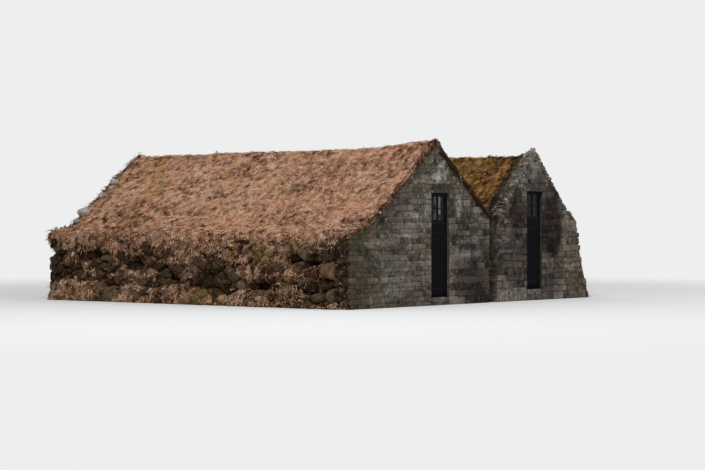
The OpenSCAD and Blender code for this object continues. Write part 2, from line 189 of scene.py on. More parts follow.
def fan(ring, tip, flip=False):
    """Triangles from each side of a closed ring of points, given by number, to one tip."""
    sides = [np.roll(ring, -1), ring] if flip else [ring, np.roll(ring, -1)]
    return np.stack([*sides, np.full(len(ring), tip)], -1)


def swept(heap, sections, **values):
    """A closed bar through outlines of the same number of points, given in 3-D, one after another."""
    sections = np.asarray(sections, float)
    stations, corners = sections.shape[:2]
    drop = np.argmin(np.ptp(sections[0], axis=0))
    ends = flat_faces(np.delete(sections[0], drop, axis=1))
    faces = [grid_faces(stations, corners, loop=True), ends[:, ::-1], ends + (stations - 1) * corners]
    heap.add(sections.reshape(-1, 3), np.concatenate(faces), **values)


# Materials
class Shader:
    """A material with short calls for the nodes used here."""

    def __init__(self, name, roughness=0.9, **sockets):
        self.material = bpy.data.materials.new(name)
        self.material.use_nodes = True
        self.tree = self.material.node_tree
        self.bsdf = self.tree.nodes["Principled BSDF"]
        self.bsdf.inputs["Roughness"].default_value = roughness
        for key, value in sockets.items():
            self.bsdf.inputs[key.replace("_", " ")].default_value = value
        self.place = self.node("ShaderNodeTexCoord").outputs["Object"]

    def node(self, kind, inputs=(), **properties):
        n = self.tree.nodes.new(kind)
        for key, value in properties.items():
            setattr(n, key, value)
        for key, value in dict(inputs).items():
            self.put(n.inputs[key], value)
        return n

    def put(self, socket, value):
        if isinstance(value, bpy.types.NodeSocket):
            self.tree.links.new(value, socket)
        else:
            socket.default_value = value

    def value(self, name):
        return self.node("ShaderNodeAttribute", attribute_name=name).outputs["Fac"]

    def stretched(self, x=1, y=1, z=1):
        return self.node("ShaderNodeMapping", {"Vector": self.place, "Scale": (x, y, z)}).outputs[0]

    def noise(self, scale, detail=4.0, roughness=0.55, place=None, distortion=0.0):
        n = self.node("ShaderNodeTexNoise", {"Vector": place or self.place, "Scale": scale, "Detail": detail,
                                             "Roughness": roughness, "Distortion": distortion})
        return n.outputs["Fac"]

    def ramp(self, factor, *stops):
        n = self.node("ShaderNodeValToRGB", {"Fac": factor})
        while len(n.color_ramp.elements) < len(stops):
            n.color_ramp.elements.new(0.5)
        for element, (at, colour) in zip(n.color_ramp.elements, stops):
            element.position = at
            element.color = (*colour, 1) if isinstance(colour, tuple) else (colour,) * 3 + (1,)
        return n.outputs["Color"]

    def mix(self, factor, a, b, blend="MIX"):
        n = self.node("ShaderNodeMix", data_type="RGBA", blend_type=blend)
        for index, value in ((0, factor), (6, a), (7, b)):
            if isinstance(value, tuple):
                value = (*value, 1)
            self.put(n.inputs[index], value)
        return n.outputs[2]

    def math(self, operation, a, b=0.0, clamp=False):
        return self.node("ShaderNodeMath", {0: a, 1: b}, operation=operation, use_clamp=clamp).outputs[0]

    def times(self, a, b, clamp=False):
        return self.math("MULTIPLY", a, b, clamp)

    def add(self, a, b, clamp=False):
        return self.math("ADD", a, b, clamp)

    def swing(self, scale, detail, roughness, much):
        """Noise that goes to both sides of 0."""
        return self.times(self.math("SUBTRACT", self.noise(scale, detail, roughness), 0.5), much)

    def darken(self, factor, colour, by):
        return self.mix(factor, colour, by, "MULTIPLY")

    def tinge(self, factor, colour, by):
        """Goes from a colour towards that colour times another."""
        return self.mix(factor, colour, self.darken(1.0, colour, by))

    def spread(self, value, low, high, to_low=0.0, to_high=1.0):
        return self.node("ShaderNodeMapRange", {0: value, 1: low, 2: high, 3: to_low, 4: to_high},
                         interpolation_type="SMOOTHSTEP").outputs[0]

    def colour(self, socket):
        self.put(self.bsdf.inputs["Base Color"], socket)
        return self

    def bump(self, height, depth, strength=1.0):
        n = self.node("ShaderNodeBump", {"Height": height, "Distance": depth, "Strength": strength})
        previous = self.bsdf.inputs["Normal"].links
        if previous:
            self.put(n.inputs["Normal"], previous[0].from_socket)
        self.put(self.bsdf.inputs["Normal"], n.outputs[0])
        return self


def stone_material(name, dark, mid, pale, moss, moss_amount, gloss=0.16):
    """Weathered basalt: a shade for each stone, mottled, with lichen crusts, damp stains and painted shade,
    and moss.
    """
    s = Shader(name, roughness=0.92, Specular_IOR_Level=gloss)
    shade = s.add(s.value("tint"), s.add(s.swing(7, 6, 0.75, 2.1), s.swing(2.3, 4, 0.6, 0.8)))
    colour = s.ramp(shade, (0.0, dark), (0.5, mid), (1.0, pale))
    colour = s.darken(0.65, colour, s.ramp(s.noise(55, 6, 0.8), (0.3, 0.45), (0.7, 1.0)))
    colour = s.darken(1.0, colour, s.ramp(s.noise(21, 5, 0.75), (0.36, 0.62), (0.64, 1.0)))
    warm = s.add(s.spread(s.noise(1.8, 4, 0.6), 0.42, 0.66), s.value("hue"), clamp=True)
    colour = s.tinge(s.times(warm, 0.7), colour, (1.0, 0.84, 0.68))
    cool = s.times(s.value("hue"), -1.2, clamp=True)
    colour = s.tinge(cool, colour, (0.9, 1.0, 1.02))
    crust = s.times(s.spread(s.noise(9, 6, 0.7), 0.54, 0.63), s.value("pale"))
    colour = s.mix(crust, colour, tuple(min(1, c * 1.75) for c in pale))
    bloom = s.times(s.spread(s.noise(6, 6, 0.75), 0.42, 0.56), s.value("bloom"))
    colour = s.mix(bloom, colour, (0.46, 0.44, 0.4))
    green = s.times(s.spread(s.noise(3.5, 6, 0.72), 0.37, 0.57), s.value("moss"))
    colour = s.mix(s.times(green, moss_amount), colour, moss)
    # Damp stains and, in places, painted shade darken the colour.
    damp = s.times(s.value("damp"), s.spread(s.noise(5, 5, 0.7), 0.14, 0.44), clamp=True)
    colour = s.tinge(damp, colour, (0.205, 0.16, 0.165))
    s.colour(colour)
    s.bump(s.noise(42, 8, 0.78), 0.007)
    s.bump(s.noise(11, 5, 0.6), 0.025, 0.8)
    return s.material


front_stone = stone_material("front_stone", (0.022, 0.0175, 0.015), (0.128, 0.104, 0.092),
                             (0.285, 0.243, 0.216), (0.078, 0.071, 0.025), 0.6)
lintel_stone = stone_material("lintel_stone", (0.035, 0.03, 0.026), (0.11, 0.094, 0.083), (0.24, 0.21, 0.19),
                              (0.085, 0.078, 0.035), 0.6)
rubble_stone = stone_material("rubble_stone", (0.01, 0.0052, 0.0028), (0.08, 0.0455, 0.027),
                              (0.28, 0.182, 0.12), (0.055, 0.036, 0.012), 0.5, gloss=0.08)
pale_stone = stone_material("pale_stone", (0.2, 0.185, 0.165), (0.5, 0.46, 0.42), (0.7, 0.65, 0.6),
                            (0.2, 0.19, 0.09), 0.4)


def turf_material(name, soil, dark, mid, pale, green, green_amount, gloss=0.2):
    """Matted grass: a shade for each blade, with rosy, golden and mossy patches across the roof."""
    s = Shader(name, roughness=0.95, Specular_IOR_Level=gloss)
    shade = s.add(s.value("tint"), s.add(s.swing(0.8, 5, 0.6, 0.8), s.swing(5.5, 5, 0.65, 1.6)))
    colour = s.ramp(shade, (0.0, soil), (0.25, dark), (0.55, mid), (1.0, pale))
    rosy = s.spread(s.noise(1.1, 4, 0.5), 0.4, 0.65)
    colour = s.tinge(s.times(rosy, 0.5), colour, (1.0, 0.84, 0.78))
    wide = s.noise(0.9, 4, 0.55, s.stretched(1, 1.3, 1.6))
    golden = s.times(s.spread(wide, 0.46, 0.62), s.value("moss"))
    colour = s.tinge(golden, colour, (1.0, 0.97, 0.7))
    moss = s.times(s.spread(s.noise(2.1, 5, 0.65), 0.52, 0.66), s.value("moss"))
    colour = s.mix(s.times(moss, green_amount), colour, green)
    fibre = s.noise(38, 7, 0.8, distortion=1.2)
    colour = s.darken(0.6, colour, s.ramp(fibre, (0.34, 0.28), (0.56, 1.0)))
    s.colour(colour)
    s.bump(fibre, 0.02)
    return s.material


dry_turf = turf_material("dry_turf", (0.032, 0.016, 0.009), (0.33, 0.162, 0.1), (0.78, 0.43, 0.272),
                         (1.0, 0.69, 0.46), (0.36, 0.27, 0.12), 0.6)
moss_turf = turf_material("moss_turf", (0.02, 0.012, 0.006), (0.11, 0.055, 0.018), (0.38, 0.195, 0.054),
                          (0.7, 0.41, 0.15), (0.06, 0.058, 0.016), 0.75)
wall_turf = turf_material("wall_turf", (0.012, 0.0062, 0.0035), (0.1, 0.049, 0.025), (0.52, 0.295, 0.178),
                          (1.0, 0.68, 0.48), (0.16, 0.13, 0.032), 0.6, gloss=0.08)


def wood_material(name, dark, mid, along, roughness=0.75):
    """Weathered wood with grain along one axis."""
    s = Shader(name, roughness=roughness, Specular_IOR_Level=0.07)
    across_grain, along_grain = 30.0, 1.6
    squeeze = [across_grain] * 3
    squeeze[along] = along_grain
    grain = s.noise(1.0, 5, 0.6, s.stretched(*squeeze), 0.4)
    colour = s.ramp(grain, (0.3, dark), (0.7, mid))
    colour = s.darken(0.4, colour, s.ramp(s.noise(3, 4), (0.35, 0.45), (0.65, 1.0)))
    s.colour(colour)
    s.bump(grain, 0.0025)
    return s.material


door_wood = wood_material("door_wood", (0.0012, 0.0011, 0.0021), (0.0058, 0.0052, 0.0076), 2, 0.85)
frame_wood = wood_material("frame_wood", (0.003, 0.0028, 0.003), (0.012, 0.0108, 0.011), 2, 0.8)
post_wood = wood_material("post_wood", (0.06, 0.042, 0.028), (0.2, 0.15, 0.1), 2)
beam_wood = wood_material("beam_wood", (0.06, 0.042, 0.028), (0.2, 0.15, 0.1), 0)
purlin_wood = wood_material("purlin_wood", (0.07, 0.05, 0.033), (0.22, 0.165, 0.11), 1)


def iron_material():
    s = Shader("iron", roughness=0.7, Metallic=0.3, Specular_IOR_Level=0.12)
    s.colour(s.ramp(s.noise(40, 5, 0.65), (0.35, (0.0025, 0.0022, 0.0024)), (0.65, (0.007, 0.005, 0.0042))))
    s.bump(s.noise(90, 4), 0.001)
    return s.material


def glass_material():
    """Dark panes with broken pale streaks of painted reflection beside the middle bar, much dimmer on the
    right window.
    """
    s = Shader("pane_glass", roughness=0.12, Specular_IOR_Level=0.15)
    x = s.node("ShaderNodeSeparateXYZ", {0: s.place}).outputs[0]
    across = s.math("FLOORED_MODULO", s.math("SUBTRACT", x, LEFT_DOOR), RIGHT_DOOR - LEFT_DOOR)
    right = s.times(s.spread(across, 0.015, 0.05), s.spread(across, 0.15, 0.1))
    left = s.times(s.spread(across, 4.07, 4.12), s.spread(across, 4.21, 4.16))
    painted_reflection = s.add(right, s.times(left, 0.35), clamp=True)
    broken = s.spread(s.noise(5, 4, 0.6, s.stretched(2, 1, 1)), 0.36, 0.56)
    dim = s.spread(x, 0.0, 1.0, 1.0, 0.1)
    s.colour(s.mix(s.times(s.times(painted_reflection, broken), dim), (0.003, 0.0028, 0.0028), (0.19, 0.165, 0.15)))
    return s.material


iron = iron_material()
pane_glass = glass_material()


# Stones
def clip(poly, a, b, c):
    """The part of a convex polygon where a * x + b * z <= c."""
    out = []
    for i, p in enumerate(poly):
        q = poly[(i + 1) % len(poly)]
        dp, dq = a * p[0] + b * p[1] - c, a * q[0] + b * q[1] - c
        if dp <= 0:
            out.append(p)
        if (dp < 0 < dq) or (dq < 0 < dp):
            t = dp / (dp - dq)
            out.append((p[0] + t * (q[0] - p[0]), p[1] + t * (q[1] - p[1])))
    return out


def area_sign(poly):
    """Twice the area, positive where the outline turns left."""
    p = np.asarray(poly)
    return np.dot(p[:, 0], np.roll(p[:, 1], -1)) - np.dot(p[:, 1], np.roll(p[:, 0], -1))


def area(poly):
    return 0.5 * abs(area_sign(poly))


def rectangle(x0, x1, z0, z1):
    return [(x0, z0), (x1, z0), (x1, z1), (x0, z1)]


def under_gable(poly, ridge, slope, top):
    """Cuts an outline under two slopes that meet at a ridge."""
    poly = clip(poly, -slope, 1, top - slope * ridge)
    return clip(poly, slope, 1, top + slope * ridge) if poly else poly


class Face:
    """A flat side of a wall: stones are laid out on it in metres along it and up it."""

    def __init__(self, origin, along, up):
        self.origin, self.along, self.up = (np.asarray(v, float) for v in (origin, along, up))
        self.up = self.up / np.linalg.norm(self.up)
        self.out = np.cross(self.along, self.up)

    def place(self, s, t, depth):
        s, t, depth = (np.asarray(v, float)[..., None] for v in (s, t, depth))
        return self.origin + s * self.along + t * self.up + depth * self.out


LEAST_STONE = 0.0012


def stone(heap, face, poly, rng, back=0.1, proud=0.02, joint=0.006, edge=0.016, step=0.09, soften=0.2,
          wobble=0.004, rough=0.003, tint=0.5, moss=0.3, pale=0.4, side=0.24, hue=0.0, fine=True, lumps=0.0):
    """A closed stone from its outline on a wall's face: a rough crown, worn edges and straight sides darkened
    with painted shade.
    """
    poly = np.asarray(poly, float)
    if len(poly) < 3 or area(poly) < LEAST_STONE:
        return
    ring = []
    for i, p in enumerate(poly):
        q = poly[(i + 1) % len(poly)]
        pieces = max(1, int(round(np.linalg.norm(q - p) / step)))
        ring += [p + (q - p) * k / pieces for k in range(pieces)]
    ring = np.array(ring)
    centre = ring.mean(0)
    ring = ring * (1 - soften) + 0.5 * soften * (np.roll(ring, 1, 0) + np.roll(ring, -1, 0))
    reach = np.linalg.norm(ring - centre, axis=1, keepdims=True)
    inward = (centre - ring) / np.maximum(reach, 1e-6)
    ring = ring + inward * joint + rng.normal(0, wobble, ring.shape)
    small = float(reach.min())
    edge = min(edge, small * 0.45)
    tilt = rng.normal(0, 0.04, 2)
    n = len(ring)
    # For each ring of the stone: how far it lies inside the outline, its depth, and its shade; side darkens
    # the sides as painted shade in the joints
    rows = ((0.0, -back, -side), (0.0, 0.1 * proud - 0.003, -0.4 * side), (edge, 0.82 * proud, 0.05),
            (small * 0.6, proud, 0.0))
    if lumps:
        rows = (rows[0], rows[1], (0.22 * small, 0.55 * proud, 0.0), (0.48 * small, 0.84 * proud, 0.03),
                (0.75 * small, 0.97 * proud, 0.0))
    if not fine:
        rows = rows[:3]
    points, depths, shades = [], [], []
    for inset, depth, shade in rows:
        r = ring + inward * inset
        if depth > 0.5 * proud:
            depth = depth + (r - centre) @ tilt + rng.normal(0, rough, n)
        points.append(r)
        depths.append(np.broadcast_to(depth, n))
        shades.append(np.full(n, tint + shade))
    points = np.concatenate(points + [centre[None], centre[None]])
    depths = np.concatenate(depths + [[proud + rng.normal(0, rough)], [-back]])
    if lumps:
        crown = np.insert(points, 2, rng.uniform(0, 50), axis=1)
        lump = lumps * proud * noise(crown, 0.7 * small + 0.03, 81, 2)
        depths = depths + np.where(depths > 0.3 * proud, lump, 0)
    # The back point is darkened by side as well: painted shade.
    shades = np.concatenate(shades + [[tint], [tint - side]])
    turn = np.arange(n)
    top, last = (len(rows) - 1) * n, len(rows) * n
    faces = [grid_faces(len(rows), n, loop=True), fan(top + turn, last), fan(turn, last + 1, flip=True)]
    heap.add(face.place(points[:, 0], points[:, 1], depths), np.concatenate(faces), tint=shades, moss=moss,
             pale=pale, hue=hue + rng.uniform(-0.6, 0.6))


def courses(x0, x1, z0, z1, rng, height, length, wave=0.01):
    """Outlines of roughly coursed stones over a rectangle."""
    rows = max(1, int(round((z1 - z0) / np.mean(height))))
    cuts = np.cumsum(rng.uniform(*height, rows))
    cuts = np.concatenate([[0], cuts]) / cuts[-1] * (z1 - z0) + z0
    phase = rng.uniform(0, 9, rows + 1)

    def level(i, x):
        if i in (0, rows):
            return cuts[i]
        return cuts[i] + wave * (math.sin(x * 2.1 + phase[i]) + math.sin(x * 5.3 + 2 * phase[i]))

    for i in range(rows):
        x, lean = x0, 0.0
        tall = cuts[i + 1] - cuts[i]
        while x < x1 - 1e-6:
            step = rng.uniform(*length) * (0.6 + 0.8 * rng.random())
            end = x + step if x1 - x - step > length[0] * 0.6 else x1
            next_lean = 0.0 if end >= x1 else rng.normal(0, 0.07) * tall
            yield [(x - lean, level(i, x)), (end - next_lean, level(i, end)),
                   (end + next_lean, level(i + 1, end)), (x + lean, level(i + 1, x))]
            x, lean = end, next_lean


def cells(x0, x1, z0, z1, rng, width, height, keep=0.75):
    """Outlines of rubble over a rectangle: cells round scattered points, fewer points for larger cells."""
    rows = max(1, int(round((z1 - z0) / height)))
    seeds = []
    for i in range(rows):
        columns = max(1, int(round((x1 - x0) / (width * rng.uniform(0.8, 1.25)))))
        for j in range(columns):
            seeds.append((x0 + (j + 0.5 + rng.uniform(-0.4, 0.4)) * (x1 - x0) / columns,
                          z0 + (i + 0.5 + rng.uniform(-0.33, 0.33)) * (z1 - z0) / rows))
    seeds = np.array(seeds)
    seeds = seeds[rng.random(len(seeds)) < keep]
    stretch, neighbours = np.array([0.8, 1.15]), 16
    for p in seeds:
        poly = rectangle(x0, x1, z0, z1)
        order = np.argsort((((seeds - p) * stretch) ** 2).sum(1))[1:neighbours + 1]
        for q in seeds[order]:
            d = (q - p) * stretch ** 2
            poly = clip(poly, d[0], d[1], float(d @ (p + q) / 2))
        if len(poly) > 2:
            yield poly


def slab(heap, outline, y0, y1, **values):
    """A closed prism from an outline in X and Z."""
    outline = np.asarray(outline, float)
    section = np.insert(outline, 1, 0.0, axis=1)
    swept(heap, [section + (0, y0, 0), section + (0, y1, 0)], **values)


# The fronts: a mortared core a little inside the CAD faces, and stones that bring them out to those faces
RECESS = 0.008
BED = 0.006
front_face = Face((0, FRONT, 0), RIGHT_WAY, UPWARD)
CORE = dict(tint=0.5, moss=0.4, pale=0.3, hue=0.3)


def mortar(heap, face, poly):
    """The mortar round a stone: a thin block with the stone's whole outline."""
    poly = np.asarray(poly, float)
    n = len(poly)
    points = np.concatenate([poly, poly, poly.mean(0)[None], poly.mean(0)[None]])
    front, behind = -RECESS, -RECESS - 3 * BED
    depths = np.concatenate([np.full(n, front), np.full(n, behind), [front], [behind]])
    turn = np.arange(n)
    after = (turn + 1) % n
    faces = [fan(turn, 2 * n), fan(n + turn, 2 * n + 1, flip=True),
             np.stack([n + turn, n + after, after], -1), np.stack([n + turn, after, turn], -1)]
    heap.add(face.place(points[:, 0], points[:, 1], depths), np.concatenate(faces), **CORE)


# Patches on the fronts: centre, half width and half height, strength. First damp and soot, with painted shade
# under the lapped turf and on the right pier's side in the joint, then pale bloom
STAINS_AND_SHADE = ((1.66, 2.2, 0.56, 0.7, 0.9), (3.2, 1.95, 0.56, 1.2, 1.35), (1.5, 1.1, 1.0, 0.8, 0.65),
          (3.2, 0.5, 0.6, 0.5, 0.65), (-0.6, 1.05, 0.85, 0.3, 0.45), (-0.35, 0.5, 0.95, 0.8, 0.85),
          (-0.7, 2.2, 0.5, 0.35, 0.3), (-5.1, 0.9, 0.6, 1.2, 0.45), (-1.25, 2.0, 0.2, 0.7, 0.5),
          (0.1, 1.1, 0.25, 1.0, 0.65), (0.85, 1.2, 0.25, 1.1, 0.35), (-2.6, 0.2, 1.2, 0.35, 0.3),
          (2.42, 3.1, 0.7, 0.2, 0.4), (-1.83, 2.93, 0.62, 0.13, 0.75), (4.3, 1.6, 0.5, 1.4, 0.2),
          (-2.3, 3.35, 0.5, 0.15, 0.3), (2.42, 3.55, 0.6, 0.4, 0.25), (0.66, 0.8, 0.07, 0.8, 0.25),
          (0.27, 0.85, 0.12, 0.85, 0.8), (0.63, 2.2, 0.07, 0.2, 1.3), (-0.4, 1.9, 0.3, 0.14, 0.7),
          (-3.7, 1.42, 0.5, 0.12, 0.45), (-3.8, 1.05, 0.5, 0.2, 0.3), (-0.6, 1.5, 0.6, 0.08, 0.7),
          (1.5, 1.52, 0.4, 0.09, 0.7), (-3.5, 2.5, 0.35, 0.2, 0.5))
BLOOMS = ((-1.88, 3.2, 0.34, 0.13, 0.9), (-2.45, 3.14, 0.34, 0.09, 0.7), (-1.72, 3.46, 0.24, 0.2, 0.75),
          (-4.6, 1.55, 0.45, 0.05, 0.6), (-3.15, 1.74, 0.45, 0.06, 0.55), (-3.0, 2.25, 0.5, 0.07, 0.65),
          (-0.37, 1.68, 0.35, 0.04, 0.3), (0.95, 1.62, 0.3, 0.045, 0.65), (1.15, 1.33, 0.35, 0.05, 0.5),
          (-0.6, 1.27, 0.62, 0.08, 0.45), (1.1, 0.17, 0.35, 0.15, 0.5), (4.1, 1.7, 0.3, 0.6, 0.3),
          (4.15, 0.9, 0.4, 0.12, 0.5), (4.4, 0.25, 0.5, 0.12, 0.15), (2.4, 3.7, 0.3, 0.35, 0.4),
          (-3.8, 0.35, 0.5, 0.2, 0.25), (-3.6, 0.8, 0.5, 0.5, 0.2), (-1.1, 2.45, 0.18, 0.3, 0.5),
          (-2.45, 2.35, 0.2, 0.15, 0.3))


def patches(p, spots, soft):
    """How far points p lie in any of the patches, times that patch's strength."""
    much = np.zeros(len(p))
    waver = 0.3 * noise(p, 0.35, 61, 3)
    for x, z, wide, tall, strength in spots:
        reach = np.hypot((p[:, 0] - x) / wide, (p[:, 2] - z) / tall) + waver
        much = np.maximum(much, strength * smoothstep(1.25, soft, reach))
    return much


# Damp stains and soot on the fronts, with painted shade under the lapped turf and beside the joint.
def damp(p):
    return patches(p, STAINS_AND_SHADE, 0.45)


def bloom(p):
    return patches(p, BLOOMS, 0.7)


def dry(p):
    return np.zeros(len(p))


# A light even touch of painted shade over the joint's stones.
def painted_joint_shade(p):
    return np.full(len(p), 0.1)


def shaded(p):
    """The side wall is darker towards its ends."""
    return 0.2 * smoothstep(-3.2, -4.2, p[:, 1]) + 0.35 * smoothstep(1.8, 3.5, p[:, 1])


FRONT_FIELDS = dict(damp=damp, bloom=bloom)
PLAIN_FIELDS = dict(damp=dry, bloom=dry)


def shade_of(rng, mean=0.5, spread=0.15):
    return float(np.clip(rng.normal(mean, spread), 0.02, 1))


def left_top(x):
    """The masonry's top under the lapped turf."""
    if x > LEFT_SHOULDER:
        return left_roof_z(x) + HEAP - LAP_T
    return LEFT_CORNER_Z + (LEFT_SHOULDER_Z - LEFT_CORNER_Z) * (x - LEFT_CORNER) / SHOULDER_RUN


def clip_left(poly):
    """Cuts an outline under the turf on the left front."""
    x = np.mean([p[0] for p in poly])
    if x > LEFT_SHOULDER:
        return under_gable(poly, LEFT_RIDGE, LEFT_TAN, LEFT_RIDGE_Z - GABLE_DROP)
    slope = (LEFT_SHOULDER_Z - LEFT_CORNER_Z) / SHOULDER_RUN
    return clip(poly, -slope, 1, LEFT_CORNER_Z - slope * LEFT_CORNER)


RIGHT_EDGE = [(RIGHT_SHOULDER, 2.4997), (RIGHT_RIDGE + 2.10, 2.14), (RIGHT_EAVE, 1.3),
              (RIGHT_RIDGE + 2.75, 0.0)]
COPING = 0.13
COPING_STONE = dict(edge=0.02, step=0.06, side=0.1)
PARAPET_FALL = 0.1


def clip_right(poly, out=0.0):
    """Cuts an outline under the coping on the slopes, and at the corner's edge, moved outwards by out."""
    run, height = np.mean(poly, axis=0) - (RIGHT_RIDGE, 0)
    if run < 1.45:
        top = PARAPET_Z - COPING / math.cos(math.atan(PARAPET_TAN)) + 0.02
        return under_gable(poly, RIGHT_RIDGE, PARAPET_TAN, top)
    shoulder, corner, foot = zip(RIGHT_EDGE, RIGHT_EDGE[1:])
    for (xa, za), (xb, zb) in (shoulder, corner if height > 1.3 else foot):
        n = np.array([za - zb, xb - xa])
        n = n / np.linalg.norm(n)
        poly = clip(poly, n[0], n[1], float(n @ (xa, za)) + out) if poly else poly
    return poly


def coping(heap, rng):
    """Rough stones in three rows along both slopes of the right gable, each row with a pointed one on top."""
    tilt = math.atan(PARAPET_TAN)
    rows = ((0.0, 0.0, 0.02), (0.15, 0.45 * PARAPET_FALL, 0.0), (0.3, PARAPET_FALL, 0.0))
    for side, length in ((-1, (RIGHT_RIDGE - JOINT[1]) / math.cos(tilt)), (1, 1.58 / math.cos(tilt))):
        along = np.array([side * math.cos(tilt), -math.sin(tilt)])
        inward = np.array([-side * math.sin(tilt), -math.cos(tilt)])
        for y, fall, proud in rows:
            face = Face((0, FRONT + y, 0), RIGHT_WAY, UPWARD)
            apex = np.array([RIGHT_RIDGE, PARAPET_Z - fall])
            at = 0.1
            while at < length - 0.02:
                end = min(at + rng.uniform(0.07, 0.17), length)
                low, lean = COPING + rng.uniform(-0.01, 0.03), rng.normal(0, 0.012, 2)
                tops = rng.uniform(-0.028, 0.018, 3)
                corners = [(at, -tops[0]), (at + lean[0], low), (end + lean[1], low), (end, -tops[1]),
                           ((at + end) / 2, -tops[2])]
                poly = [apex + along * u + inward * v for u, v in corners]
                if area_sign(poly) <= 0:
                    poly = poly[::-1]
                stone(heap, face, poly, rng, back=rng.uniform(0.13, 0.145),
                      proud=proud + rng.uniform(0, 0.015), tint=shade_of(rng, 0.62, 0.22), pale=0.8,
                      moss=0.35, soften=0.3, wobble=0.008, **COPING_STONE)
                at = end
    for half, low, high, y in ((0.12, 0.16, 0.015, 0.0), (0.12, 0.3, -0.07, 0.15), (0.1, 0.3, -0.12, 0.3)):
        face = Face((RIGHT_RIDGE, FRONT + y, PARAPET_Z), RIGHT_WAY, UPWARD)
        pointed = [(-half, -low), (half, -low - 0.01), (0.35 * half, high - 0.07), (0.05 * half, high),
                   (-0.25 * half, high - 0.06)]
        stone(heap, face, pointed, rng, back=0.14, proud=0.015, soften=0.05, tint=0.75, pale=1.0,
              **COPING_STONE)


def opening_slabs(heap, rng, x, sill, tint):
    """The lintel over an opening, the threshold under it and the stone under that."""
    head, foot, through = sill + OPENING_H, sill - 0.13, 0.44
    for low, high, half, shade in ((head, head + LINTEL_H, LINTEL_HALF, tint), (foot, sill, OPENING, 0.7)):
        stone(heap, front_face, rectangle(x - half, x + half, low, high), rng, back=through, proud=0.012,
              joint=0.003, edge=0.014, soften=0.1, wobble=0.002, tint=shade, moss=0.1, pale=0.5)
    stone(heap, front_face, rectangle(x - OPENING, x + OPENING, 0, foot), rng, back=through, proud=0.01,
          tint=0.45)


def left_front():
    rng = np.random.default_rng(11)
    heap = Heap()
    r = RECESS
    door0, door1 = LEFT_DOOR - OPENING, LEFT_DOOR + OPENING
    head = LEFT_SILL + OPENING_H
    outline = [(LEFT_CORNER + 0.05, 0), (door0, 0), (door0, head), (door1, head), (door1, 0),
               (JOINT[0] - r, 0), (JOINT[0] - r, left_top(JOINT[0]) - r),
               (LEFT_RIDGE, LEFT_RIDGE_Z - GABLE_DROP - r),
               (LEFT_SHOULDER, LEFT_SHOULDER_Z - r), (LEFT_CORNER + 0.05, LEFT_CORNER_Z - r)]
    slab(heap, outline, FRONT + r + BED, INSIDE_FRONT, **CORE)

    def lay(x0, x1, z0, z1, height, length, contrast=0.21, **more):
        for poly in courses(x0, x1, z0, z1, rng, height, length):
            poly = clip_left(poly)
            if len(poly) < 3:
                continue
            cx, cz = np.mean(poly, axis=0)
            low = float(smoothstep(1.2, 0.1, cz) * smoothstep(-2.4, -4.6, cx))
            end = float(smoothstep(-4.0, -4.8, cx))
            top = float(smoothstep(2.7, 3.1, cz))
            mean = 0.5 - 0.07 * low + 0.09 * top + 0.04 * (cx > -1.4)
            look = dict(tint=shade_of(rng, mean, contrast), pale=0.3 + 0.4 * top,
                        moss=0.3 + 0.8 * max(low, 0.8 * top, end), proud=rng.uniform(0.002, 0.014),
                        edge=rng.uniform(0.008, 0.022), hue=0.3 * end)
            look.update(more)
            stone(heap, front_face, poly, rng, **look)
            mortar(heap, front_face, clip(poly, -1, 0, -(LEFT_CORNER + 0.03)))

    lay(LEFT_CORNER, door0, 0.0, head, (0.1, 0.17), (0.16, 0.42))
    lay(door1, JOINT[0], 0.0, 1.5, (0.14, 0.22), (0.26, 0.62), 0.3)
    lay(door1, JOINT[0], 1.5, head, (0.11, 0.17), (0.2, 0.5), 0.27)
    lay(-4.4, LEFT_DOOR - LINTEL_HALF, head, head + LINTEL_H, (0.1, 0.11), (0.16, 0.36))
    lay(LEFT_DOOR + LINTEL_HALF, 0.0, head, head + LINTEL_H, (0.1, 0.11), (0.2, 0.4))
    lay(LEFT_RIDGE - 1.3, LEFT_RIDGE + 1.3, head + LINTEL_H, LEFT_RIDGE_Z, (0.09, 0.15), (0.12, 0.34),
        wobble=0.007)
    heap.build("left_front_stones", front_stone, "front_stone", crease=38, **FRONT_FIELDS,
               replaces=("left_front_outer_pier", "left_front_inner_pier", "left_front_gable"))


